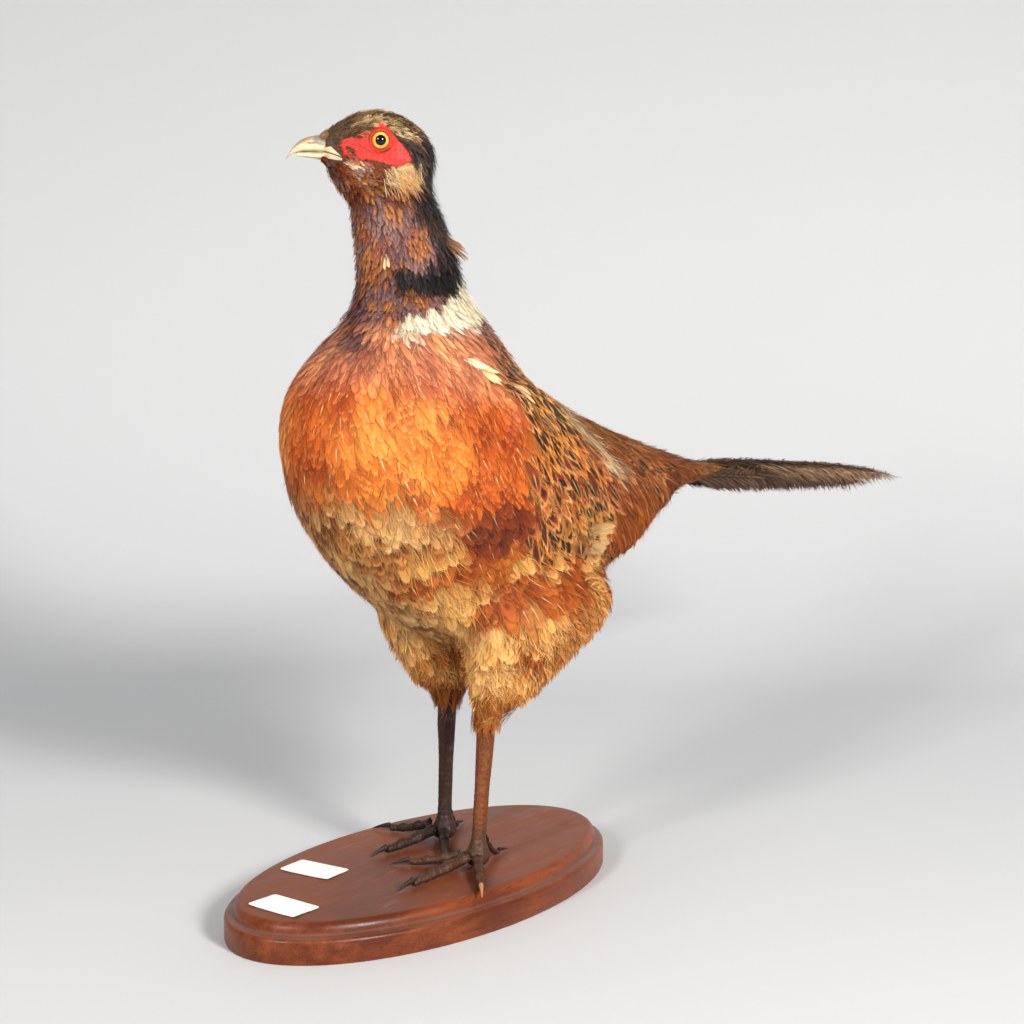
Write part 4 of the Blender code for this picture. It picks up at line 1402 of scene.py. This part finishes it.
def make_gapes():
    """The horn along the mouth, with the line where the halves meet."""
    material = bpy.data.materials["bill_horn"]
    surfaces = [skin_surface()] + [Surface(bpy.data.objects[f"bill_{part}"]) for part in ("top", "under")]
    columns, rows = 48, 30
    for name, side in SIDES:
        fores, ups, outs = np.empty((3, columns, rows))
        for i, fore in enumerate(np.linspace(18.6, 32.5, columns)):
            high = float(np.interp(fore, (18.5, 20, 25.3, 28, 32.5), (-8.8, -7.6, -1.8, -2.2, -3.6)))
            low = float(np.interp(fore, (18.5, 22, 26, 32.5), (-10.4, -10.6, -10.3, -9.2)))
            for j, up in enumerate(np.linspace(low, high, rows)):
                start = from_head(fore, 40, up, side)
                found = [s.hit(start, LEFTWARDS * side) for s in surfaces]
                reached = [float(head_view(f)[1][0]) for f in found if f is not None]
                fores[i, j], ups[i, j], outs[i, j] = fore, up, max(reached, default=0)
            gaps = outs[i] < 1.2
            if gaps.any() and not gaps.all():
                outs[i, gaps] = np.interp(ups[i, gaps], ups[i, ~gaps], outs[i, ~gaps])
        for _ in range(5):
            outs[1:-1] = .5 * outs[1:-1] + .25 * (outs[2:] + outs[:-2])
            outs[:, 1:-1] = .5 * outs[:, 1:-1] + .25 * (outs[:, 2:] + outs[:, :-2])
        mouth = np.interp(fores, (18.5, 22, 27.7, 32.5), (-9.1, -7.6, -5.6, -5.3))
        across = np.linspace(0, 1, rows)[None]
        seam = smooth(.5, .1, np.abs(ups - mouth))
        rim = smooth(0, .2, across) * smooth(1, .8, across)
        rim = rim * smooth(18.6, 20, fores) * smooth(32.5, 28, fores)
        outs = outs + .3 * rim - .6 * (1 - rim) - .45 * seam * rim
        # Painted shade: dark along the seam between the halves, towards the corner of the mouth and along the
        # top edge under the upper bill
        shade = .85 * seam + .4 * smooth(25, 19, fores) + .3 * smooth(.7, 1, across)
        tints = blend(linear("d9c498"), linear("4a3020"), np.clip(shade, 0, 1))
        points = from_head(fores.ravel(), outs.ravel(), ups.ravel(), side)
        obj = mesh_object(f"gape_{name}", points, grid_faces(columns, rows, flipped=side < 0), material)
        put_colour(obj.data, "tint", np.clip(tints, 0, 1))
        settle(obj, "horn")


# ---- legs and claws


def axis_of(name, count=9):
    """The middle line of a long CAD node, and its mean radius there."""
    points = np.array([v.co[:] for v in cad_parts[name].data.vertices]) / MM
    centre = points.mean(0)
    along = np.linalg.svd(points - centre, full_matrices=False)[2][0]
    reach = (points - centre) @ along
    edges = np.linspace(reach.min(), reach.max(), count + 1)
    line, radii = [], []
    for low, high in zip(edges, edges[1:]):
        inside = points[(reach >= low - .5) & (reach <= high + .5)]
        if len(inside) > 3:
            middle = inside.mean(0)
            if not line or norm(middle - line[-1]) > .5:
                line.append(middle)
                radii.append(norm(inside - middle, axis=1).mean())
    return np.array(line), np.array(radii)


SCUTE = 3.3  # the pitch of the scales down the front of a leg and along a toe


def longer_shank(points, name):
    """The leg with its shank fuller and run up into the feathers."""
    end, down, radius = knee(name)
    top = end + down * KNEE
    along = (points - top) @ down
    from_line = points - top - np.outer(along, down)
    near = norm(from_line, axis=1) < 2.5 * radius
    grown = (.1 + .12 * smooth(25, -1, along)) * near * smooth(52, 30, along)
    points = points + from_line * grown[:, None]
    return points - np.outer((KNEE + 4) * (along < 1), down)


def make_legs():
    material = flecked_material(
        "leg_skin", .6, (((700, 4, .7), .42, .72, .6, "2a1c14"),
                          ((180, 4, .7), .5, .75, .3, "80604a")),
        (0, .6, .2), rough=(.3, .7, .42, .75), Specular_IOR_Level=.25)
    for name, _ in SIDES:
        nodes = [f"shank_{name}"] + [f"toe_{name}_{toe}" for toe in TOES]
        obj = refined(f"leg_{name}", .55, 3, *nodes, shape=lambda points: longer_shank(points, name))
        points, normals = points_of(obj.data)
        lines = [axis_of(n) for n in nodes]
        found = [along_line(points, line) for line, _ in lines]
        nearest = np.array([f[0] / radii[f[2]] for f, (_, radii) in zip(found, lines)]).argmin(0)
        rows = np.arange(len(points))
        far, ways, offset = (np.array([f[k] for f in found])[nearest, rows] for k in (1, 3, 4))
        offset = unit(offset)
        shank = nearest == 0
        face = np.where(shank[:, None], (-1, 0, 0), (0, 0, 1))
        front = (offset * face).sum(1)
        across = (np.cross(ways, face) * offset).sum(1)
        # Broad plates in front, in two rows on the shank, and small round ones elsewhere
        turn = far / np.where(shank, SCUTE, .8 * SCUTE) + np.where(shank & (across > 0), .5, 0)
        joint = np.abs(turn - np.round(turn)) * 2
        crease = np.maximum(smooth(.24, .02, joint), smooth(.16, .02, np.abs(across)) * shank)
        plates = smooth(.05, .3, front)
        cells = np.array([noise.voronoi(Vector(p) * .62)[0][:2] for p in points.tolist()])
        gaps = smooth(.28, .04, cells[:, 1] - cells[:, 0])
        pads = smooth(-.5, -.8, front) * ~shank
        soft = 1 - .65 * shank
        dent = (-.34 * crease * plates - .24 * gaps * (1 - plates)) * soft
        dent += .12 * np.sin(far * 1.1) * ~shank - .072 * (1 - joint) * plates - .1 * pads
        place_points(obj.data, points + normals * dent[:, None])
        upper, lower, groove = (linear(c) for c in LEG_COLOURS[name])
        tint = blend(upper, lower, np.maximum(smooth(50, 34, points[:, 2]), ~shank * 1))
        dark = np.clip(np.maximum(crease * plates, gaps * (1 - plates)), 0, 1) * soft * .75
        put_colour(obj.data, "tint", blend(tint, groove, dark))
        obj.data.materials.append(material)
        settle(obj, "leg_scales", *nodes)


# The shank's, the foot's and the grooves' colours. The right leg's are darker than the left's: painted shade
# on the far leg
LEG_COLOURS = {"left": ("703810", "4c3020", "2c160c"), "right": ("38211a", "34241c", "160d0a")}


def make_claws():
    material = flecked_material("claw_horn", .5, (((900, 3, .6), .5, .8, .2, "7c6450"),), (0, .3, .1),
                                Specular_IOR_Level=.3)
    for name, _ in SIDES:
        nodes = [f"claw_{name}_{toe}" for toe in TOES]
        obj = refined(f"claws_{name}", .3, 2, *nodes)
        points, _ = points_of(obj.data)
        tint = np.tile(linear("2c1f18"), (len(points), 1))
        if name == "left":  # one claw has lost its dark sheath
            low, high = (np.array(c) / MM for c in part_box("claw_left_outer"))
            tint[((points > low - .5) & (points < high + .5)).all(1)] = linear("b07c44")
        put_colour(obj.data, "tint", tint)
        obj.data.materials.append(material)
        settle(obj, "claw", *nodes)


# ---- quills of tail and wings

# Pairs of tail feathers from the top down: where the tip is (back, up), how far it is from the
# middle, how far the vane tilts down in degrees, and its width
TAIL_PAIRS = (
    (507, 186, 1.5, 22, 23), (486, 191, 3.5, 34, 22), (463, 186.5, 3, 44, 21),
    (436, 190, 5, 52, 20), (405, 193, 6.5, 58, 19), (372, 196, 8, 64, 18),
    (340, 199, 9, 70, 17),
)
# The ridge of the tail: (back, up)
TAIL_RIDGE = ((225, 219), (262, 219.3), (295, 217.6), (345, 212.2), (400, 205.8), (446, 198.6),
              (484, 191.6), (508, 186))
TAIL_STATIONS = 26


def tail_shafts():
    """The tail's shafts: places, normals, ways, width and pair of each."""
    ridge_x, ridge_z = np.array(TAIL_RIDGE).T
    rows = []
    for pair, (tip_x, tip_z, apart, tilt, width) in enumerate(TAIL_PAIRS):
        for side in (-1, 1):
            share = np.linspace(0, 1, TAIL_STATIONS)
            start = 218 + 2 * pair
            x = start + (tip_x - start) * share
            drop = .7 * pair + .9 * pair * np.sin(np.pi * np.minimum(share * 1.6, 1) / 2) * .8
            z = np.interp(x, ridge_x, ridge_z) - drop
            z += (tip_z - z[-1]) * share ** 3
            spread_out = (.8 + apart * np.sin(np.pi * .5 * np.minimum(share * 1.8, 1))
                          * (1 - .55 * share ** 2)) + .75 * pair * np.sin(np.pi * share) ** .7
            y = MIDDLE + side * (spread_out + .35 * (side > 0))
            places = np.stack((x, y, z), 1)
            ways = unit(np.gradient(places, axis=0))
            lean = math.radians(tilt) * side
            normal = np.tile((0, math.sin(lean), math.cos(lean)), (TAIL_STATIONS, 1))
            normal -= (normal * ways).sum(1, keepdims=True) * ways
            rows.append((places, unit(normal), ways, width, pair))
    return rows


def rachis(places, normals, ways, widest, sides=5):
    """A thin tapering shaft along these places."""
    count = len(places)
    across = unit(np.cross(normals, ways))
    thick = widest * (1 - .85 * np.linspace(0, 1, count))
    turns = np.linspace(0, 2 * np.pi, sides, endpoint=False)
    rings = [places + thick[:, None] * (across * math.cos(t) + normals * math.sin(t)) for t in turns]
    points = np.stack(rings, 1).reshape(-1, 3)
    faces = []
    for k in range(count - 1):
        for j in range(sides):
            a, b = k * sides + j, k * sides + (j + 1) % sides
            faces += [(a, b, b + sides), (a, b + sides, a + sides)]
    faces += [(0, j + 1, j) for j in range(1, sides - 1)]
    last = (count - 1) * sides
    faces += [(last, last + j, last + j + 1) for j in range(1, sides - 1)]
    return points, np.array(faces)


def join_quills(name, quills, material):
    """One mesh of quills, each with its own strip of the map."""
    parts = []
    for number, (shaft, vane, width, looks, thick, cup) in enumerate(quills):
        blades = lay_vanes([s[None] for s in shaft], vane, np.array([width]), np.array([.5]), cup)[0]
        along, across, _, rim, triangles = vane
        stem, stem_faces = rachis(*shaft, thick)
        stem_along = np.repeat(np.linspace(0, 1, len(shaft[0])), len(stem) // len(shaft[0]))
        half_across = np.append(across * .5 + .5, np.full(len(stem), .5))
        local = np.stack((half_across, np.append(along, stem_along)), 1)
        strips = np.stack(((number + .05 + .9 * local[:, 0]) / len(quills), local[:, 1]), 1)
        looks = {**looks, "traits": [looks[key] for key in VARIED]}
        looks = {key: np.tile(looks[key], (len(local), 1)) for key in (*COLOURS, "traits")}
        faces = np.concatenate((triangles, stem_faces + len(blades)))
        rims = np.append(rim, np.zeros(len(stem)))
        parts.append((np.concatenate((blades, stem)), faces, local, strips, rims, looks))
    return vane_mesh(name, parts, material)


def shades(rng, base, edge, centre, bars, blotch, shaft):
    return {"base": linear(base[rng.integers(len(base))]), "edge": linear(edge), "centre": linear(centre),
            "bars": bars, "blotch": blotch, "shaft": shaft, "chance": rng.random()}


def make_tail():
    rng = np.random.default_rng(chosen("plumage").seed + 31)
    quills = []
    for places, normals, ways, width, pair in reversed(tail_shafts()):
        length = places[-1, 0] - places[0, 0]
        vane = make_vane("quill", int(length / 1.05), rng, 1.5 * width / length, 1.35, ragged=.09)
        # The top two pairs are paler: partly their own colour, partly painted light on the top of the tail
        tones = ("a88468", "98755a", "b49072") if pair < 2 else ("5c4434", "4c3628", "664c3a")
        looks = shades(rng, tones, "906f50" if pair < 2 else "5a4228", "1e130c", .5, 0, .1)
        quills.append(((places, normals, ways), vane, width, looks, .85, .55))
    material = feather_material("tail_plumage", bar_count=17, barb_count=150, contrast=.9, roughness=.6)
    obj = join_quills("tail_quills", quills, material)
    settle(obj, "tail_feathers", "tail_upper", "tail_lower")


def make_wing_quills():
    """The ends of the secondaries."""
    rng = np.random.default_rng(chosen("plumage").seed + 57)
    surface = skin_surface()
    quills = []
    for _, side in SIDES:
        for n in range(7):
            share = n / 6
            start = np.array(((54 + 9 * share, MIDDLE + side * 66, 196 + 7 * share),))
            shaft = spines(surface, start, np.array([29]), np.array([-side * (.5 + .6 * share)]), 9, .6,
                           np.array([2.4 + .15 * n]))
            looks = shades(rng, ("b88f5c", "a87c48", "c29e6c"), "cfae7c", "7c5834", .12, 0, .5)
            vane = make_vane("quill", 30, rng, .2, missing=.02, ragged=.03, web=.6)
            quills.append(([s[0] for s in shaft], vane, 8, looks, .35, .12))
    material = feather_material("quill_plumage", bar_count=9, barb_count=60, contrast=.45, roughness=.6)
    settle(join_quills("wing_quills", quills, material), "wing_feathers")


# ---- plinth and labels

# The moulding of the plinth's edge from the underside up: (inset from the outline, height)
MOULDING = (
    (1.2, 0), (.4, .25), (0, 1), (0, 11.4), (.15, 12.2), (.7, 13), (1.5, 13.6), (2.6, 13.9), (4.6, 14),
    (5, 14.3), (5.2, 15.4), (5.4, 16.8), (5.9, 18.2), (6.8, 19.4), (8, 20.2), (9.2, 20.5), (10.6, 20.6),
)
LABEL_SIZE = np.array((20.3, 32.8))
LABEL_ROUND = 1.5  # the radius of its corners
LABEL_STRAIGHT = np.array((8.6, 14.9))  # from its middle to where the corners start
LABEL_TURNS = {"label_front": 2, "label_rear": 8}  # degrees


def wood_material():
    """Stained wood with a worn and dusty top."""
    settings = chosen("stand")
    material, tree, shader = surface_material("stained_wood", .55, Specular_IOR_Level=.25)
    times = functools.partial(maths, tree, "MULTIPLY")
    height = node(tree, "SeparateXYZ", in_0=node(tree, "TexCoord").outputs["Object"]).outputs[2]
    warp = speckle(tree, 14, 2, .5)
    grain = speckle(tree, 1, 5, .65, (9, 120, 120))
    pores = speckle(tree, 1, 3, .6, (70, 1500, 1500))
    patches = maths(tree, "MULTIPLY_ADD", warp, .5, times(grain, .5))
    base = mix(tree, ramp(tree, patches, .35, .65), settings.wood_dark, settings.wood)
    base = mix(tree, ramp(tree, pores, .52, .7, 0, .55), base, linear("2a0d08"))
    # Dust and wear on the top
    top = ramp(tree, height, 20.1 * MM, 20.5 * MM)
    smear = speckle(tree, 30, 4, .7)
    dusty = times(top, ramp(tree, smear, .35, .75, .15, .7))
    colour = mix(tree, dusty, base, linear("80482c"))
    groove = times(ramp(tree, height, 13.2 * MM, 13.8 * MM), ramp(tree, height, 14.2 * MM, 16 * MM, 1, 0))
    colour = mix(tree, times(groove, ramp(tree, smear, .3, .6, .4, .9)), colour, linear("6e4a3c"))
    scratch = speckle(tree, 1, 2, .5, (40, 900, 40), .6)
    marks = times(top, ramp(tree, scratch, .68, .74, 0, .5))
    colour = mix(tree, marks, colour, linear("b98a78"))
    rough = maths(tree, "MULTIPLY_ADD", dusty, .25, ramp(tree, grain, .3, .7, .3, .45))
    dress(tree, shader, colour, maths(tree, "ADD", grain, pores), .25, .2, rough)
    return material


def make_plinth():
    low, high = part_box("plinth")
    half = ((high.x - low.x) / 2, (high.y - low.y) / 2)
    obj = primitive("plinth_wood", "circle", vertices=192, radius=1, fill_type="NGON")
    inset, height = MOULDING[0]
    size = [h - inset * MM for h in half]
    obj.scale = (*size, 1)
    apply_place()
    bpy.ops.object.mode_set(mode="EDIT")
    bpy.ops.mesh.select_all(action="SELECT")
    for inset, level in MOULDING[1:]:
        fresh = [h - inset * MM for h in half]
        bpy.ops.mesh.extrude_region_move(TRANSFORM_OT_translate={"value": (0, 0, (level - height) * MM)})
        bpy.ops.transform.resize(value=(fresh[0] / size[0], fresh[1] / size[1], 1),
                                 center_override=(0, 0, level * MM))
        size, height = fresh, level
    bpy.ops.mesh.select_all(action="SELECT")
    bpy.ops.mesh.normals_make_consistent(inside=False)
    bpy.ops.object.mode_set(mode="OBJECT")
    bpy.ops.object.shade_smooth_by_angle(angle=math.radians(40))
    obj.data.materials.append(wood_material())
    settle(obj, "wood", "plinth")


def make_labels():
    material = flecked_material(
        "label_paper", .75, (((900, 4, .7), .35, .7, .35, "dcdad4"),
                              ((60, 3, .6), .55, .8, .4, "d8ccb8")),
        (0, .2, .05), tint="f4f4f2")
    for name, turn in LABEL_TURNS.items():
        centre = box_centre(name)
        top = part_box(name)[1].z
        obj = primitive(f"paper_{name}", "grid", x_subdivisions=14, y_subdivisions=22, size=1)
        obj.scale = (*(LABEL_SIZE * MM), 1)
        obj.rotation_euler = (0, 0, math.radians(turn))
        obj.location = (centre[0] * MM, centre[1] * MM, top - .28 * MM)
        spots = np.array([v.co[:2] for v in obj.data.vertices])
        # Round corners that lift a little off the wood
        inner = np.abs(spots) * LABEL_SIZE
        corner = np.maximum(inner - LABEL_STRAIGHT, 0)
        far = norm(corner, axis=1)
        pull = np.where(far > LABEL_ROUND, LABEL_ROUND / np.maximum(far, 1e-6), 1)
        edge = LABEL_STRAIGHT + corner * pull[:, None]
        spots = np.sign(spots) * np.where(corner.all(1)[:, None], edge, inner) / LABEL_SIZE
        curl = .25 * smooth(12, 19, norm(spots * LABEL_SIZE, axis=1)) * (spots[:, 0] < .1)
        for vertex, (x, y), lift in zip(obj.data.vertices, spots, curl):
            vertex.co = (x, y, lift * MM)
        apply_place()
        sheet = obj.modifiers.new("Paper", "SOLIDIFY")
        sheet.thickness = .22 * MM
        sheet.offset = 0
        bpy.ops.object.modifier_apply(modifier=sheet.name)
        bpy.ops.object.shade_smooth_by_angle(angle=math.radians(40))
        obj.data.materials.append(material)
        settle(obj, "paper", name)


# ---- stage


def make_stage():
    settings = chosen("stage")
    data = bpy.data.cameras.new("camera")
    data.sensor_width = 36
    data.lens = settings.lens
    data.clip_end = 20
    camera = linked("camera", data)
    camera.location = [c * MM for c in CAMERA_PLACE]
    camera.rotation_euler = [math.radians(a) for a in CAMERA_TURN]
    bpy.context.scene.camera = camera
    # A pale floor that curves up into a backdrop
    material, tree, shader = surface_material("paper_floor", .8)
    tone = ramp(tree, speckle(tree, 1.2, 2, .5), .2, .8, 0, 1)
    colour = mix(tree, tone, [c * .97 for c in settings.floor], settings.floor)
    height = node(tree, "SeparateXYZ", in_0=node(tree, "TexCoord").outputs["Object"]).outputs[2]
    # Painted shade: the backdrop is darker towards the top, as if less lamp light reached it
    colour = mix(tree, ramp(tree, height, 0, 1.1), colour, [c * .7 for c in settings.floor])
    tree.links.new(colour, shader.inputs["Base Color"])
    profile = [(-3000, 0), (480, 0)]
    profile += [(480 + 520 * math.sin(a), 520 - 520 * math.cos(a))
                for a in np.linspace(0, math.pi / 2, 25)[1:]]
    profile.append((1000, 3500))
    yaw = math.radians(CAMERA_TURN[2])
    ahead = np.array((-math.sin(yaw), math.cos(yaw), 0))
    aside = np.array((math.cos(yaw), math.sin(yaw), 0))
    points = [ahead * far + aside * wide + UP * high for far, high in profile for wide in (-9000, 9000)]
    faces = grid_faces(len(profile), 2, flipped=True)
    mesh_object("floor", np.array(points), faces, material)
    bpy.context.scene.view_settings.view_transform = "Standard"
    world = bpy.data.worlds.new("studio")
    bpy.context.scene.world = world
    world.use_nodes = True
    world.node_tree.nodes["Background"].inputs[0].default_value = (.93, .96, 1, 1)
    world.node_tree.nodes["Background"].inputs[1].default_value = settings.fill
    for name, place, size, power, colour in LAMPS:
        lamp = bpy.data.lights.new(name, "AREA")
        lamp.size = size
        lamp.energy = power * settings.key
        lamp.color = colour
        obj = linked(name, lamp)
        obj.location = place
        obj.rotation_euler = (Vector(AIM) - Vector(place)).to_track_quat("-Z", "Y").to_euler()


CAMERA_PLACE = (-804.6, -742.8, 372.4)  # millimetres
CAMERA_TURN = (81.838, 0, -49.85)  # degrees
AIM = (0, 0, .24)  # where every lamp points
LAMPS = (  # name, place in metres, size, watts, colour
    ("right", (-.55, -2.00, 1.05), .42, 68, (1, .98, .95)),
    ("left", (-1.95, -.25, 1.1), .42, 29, (1, .98, .95)),
    ("top", (.3, .2, 2.4), 1.4, 6, (.96, .98, 1)),
)


# ---- settings


class PlumageSettings(bpy.types.PropertyGroup):
    seed: IntProperty(name="Seed", description="Another number, other feathers", default=7)
    tries: IntProperty(name="Tries", description="Places tried for a root", default=110000, min=1000)
    spacing: FloatProperty(name="Spacing", description="Share of the usual gap", default=1)
    length: FloatProperty(name="Length", description="Share of the usual length", default=1)
    width: FloatProperty(name="Width", description="Share of the usual width", default=1)
    ruffle: FloatProperty(name="Ruffle", description="How ruffled the barbs are", default=1, min=0)


class HeadSettings(bpy.types.PropertyGroup):
    wattle: FloatVectorProperty(name="Wattle", description="Colour of the bare skin", subtype="COLOR",
                                default=tuple(linear("c9241a")))


class StandSettings(bpy.types.PropertyGroup):
    wood: FloatVectorProperty(name="Wood", description="Colour of the stained wood", subtype="COLOR",
                              default=tuple(linear("84401f")))
    wood_dark: FloatVectorProperty(name="Dark wood", description="Colour of its dark bands", subtype="COLOR",
                                   default=tuple(linear("542410")))


class StageSettings(bpy.types.PropertyGroup):
    lens: FloatProperty(name="Lens", description="Focal length on a 36 mm sensor", default=71.37)
    floor: FloatVectorProperty(name="Floor", description="Colour of the backdrop", subtype="COLOR",
                               default=(.6, .605, .61))
    key: FloatProperty(name="Lamps", description="Strength of all the lamps", default=1, min=0)
    fill: FloatProperty(name="Fill", description="Strength of the world's light", default=.28, min=0)


# ---- operators

DONE = {"FINISHED"}


class PHEASANT_OT_skin(bpy.types.Operator):
    """The skin under the feathers"""

    bl_idname = "pheasant.skin"
    bl_label = "Skin"

    def execute(self, context):
        make_skin()
        return DONE


class PHEASANT_OT_coats(bpy.types.Operator):
    """All the small feathers and loose barbs"""

    bl_idname = "pheasant.coats"
    bl_label = "Coats"

    def execute(self, context):
        for name in COATS:
            make_coat(name)
        make_wisps()
        return DONE


class PHEASANT_OT_wattles(bpy.types.Operator):
    """The bare skin and the lids round the eyes"""

    bl_idname = "pheasant.wattles"
    bl_label = "Wattles"

    def execute(self, context):
        make_wattles()
        return DONE


class PHEASANT_OT_eyes(bpy.types.Operator):
    """The glass eyes"""

    bl_idname = "pheasant.eyes"
    bl_label = "Eyes"

    def execute(self, context):
        make_eyes()
        return DONE


class PHEASANT_OT_bill(bpy.types.Operator):
    """The upper and lower bill"""

    bl_idname = "pheasant.bill"
    bl_label = "Bill"

    def execute(self, context):
        make_bill()
        make_gapes()
        return DONE


class PHEASANT_OT_tail(bpy.types.Operator):
    """The long quills of the tail"""

    bl_idname = "pheasant.tail"
    bl_label = "Tail"

    def execute(self, context):
        make_tail()
        return DONE


class PHEASANT_OT_wing_quills(bpy.types.Operator):
    """The quills that show under the coverts"""

    bl_idname = "pheasant.wing_quills"
    bl_label = "Wing quills"

    def execute(self, context):
        make_wing_quills()
        return DONE


class PHEASANT_OT_legs(bpy.types.Operator):
    """The scaled shanks and toes"""

    bl_idname = "pheasant.legs"
    bl_label = "Legs"

    def execute(self, context):
        make_legs()
        return DONE


class PHEASANT_OT_claws(bpy.types.Operator):
    """The claws of both feet"""

    bl_idname = "pheasant.claws"
    bl_label = "Claws"

    def execute(self, context):
        make_claws()
        return DONE


class PHEASANT_OT_plinth(bpy.types.Operator):
    """The moulded oval plinth"""

    bl_idname = "pheasant.plinth"
    bl_label = "Plinth"

    def execute(self, context):
        make_plinth()
        return DONE


class PHEASANT_OT_labels(bpy.types.Operator):
    """The blank paper labels"""

    bl_idname = "pheasant.labels"
    bl_label = "Labels"

    def execute(self, context):
        make_labels()
        return DONE


class PHEASANT_OT_stage(bpy.types.Operator):
    """The floor, the lamps and the camera"""

    bl_idname = "pheasant.stage"
    bl_label = "Stage"

    def execute(self, context):
        make_stage()
        return DONE


class PHEASANT_PT_panel(bpy.types.Panel):
    """Every step of the mount, in order"""

    bl_label = "Mounted pheasant"
    bl_space_type = "VIEW_3D"
    bl_region_type = "UI"
    bl_category = "Pheasant"

    def draw(self, context):
        for group in SETTINGS:
            box = self.layout.box()
            for key in SETTINGS[group].__annotations__:
                box.prop(getattr(context.scene, group), key)
        for step in STEPS:
            self.layout.operator(step.bl_idname)


SETTINGS = {
    "pheasant_plumage": PlumageSettings, "pheasant_head": HeadSettings, "pheasant_stand": StandSettings,
    "pheasant_stage": StageSettings,
}
STEPS = (
    PHEASANT_OT_skin, PHEASANT_OT_wattles, PHEASANT_OT_eyes, PHEASANT_OT_bill, PHEASANT_OT_coats,
    PHEASANT_OT_tail, PHEASANT_OT_wing_quills, PHEASANT_OT_legs, PHEASANT_OT_claws, PHEASANT_OT_plinth,
    PHEASANT_OT_labels, PHEASANT_OT_stage,
)


def register():
    for kind in (*SETTINGS.values(), *STEPS, PHEASANT_PT_panel):
        bpy.utils.register_class(kind)
    for name, kind in SETTINGS.items():
        setattr(bpy.types.Scene, name, PointerProperty(type=kind))


def unregister():
    for name in SETTINGS:
        delattr(bpy.types.Scene, name)
    for kind in reversed((*SETTINGS.values(), *STEPS, PHEASANT_PT_panel)):
        bpy.utils.unregister_class(kind)


def main():
    register()
    bpy.ops.object.select_all(action="DESELECT")
    for step in STEPS:
        getattr(bpy.ops.pheasant, step.bl_idname.split(".")[1])()


if __name__ == "__main__":
    main()
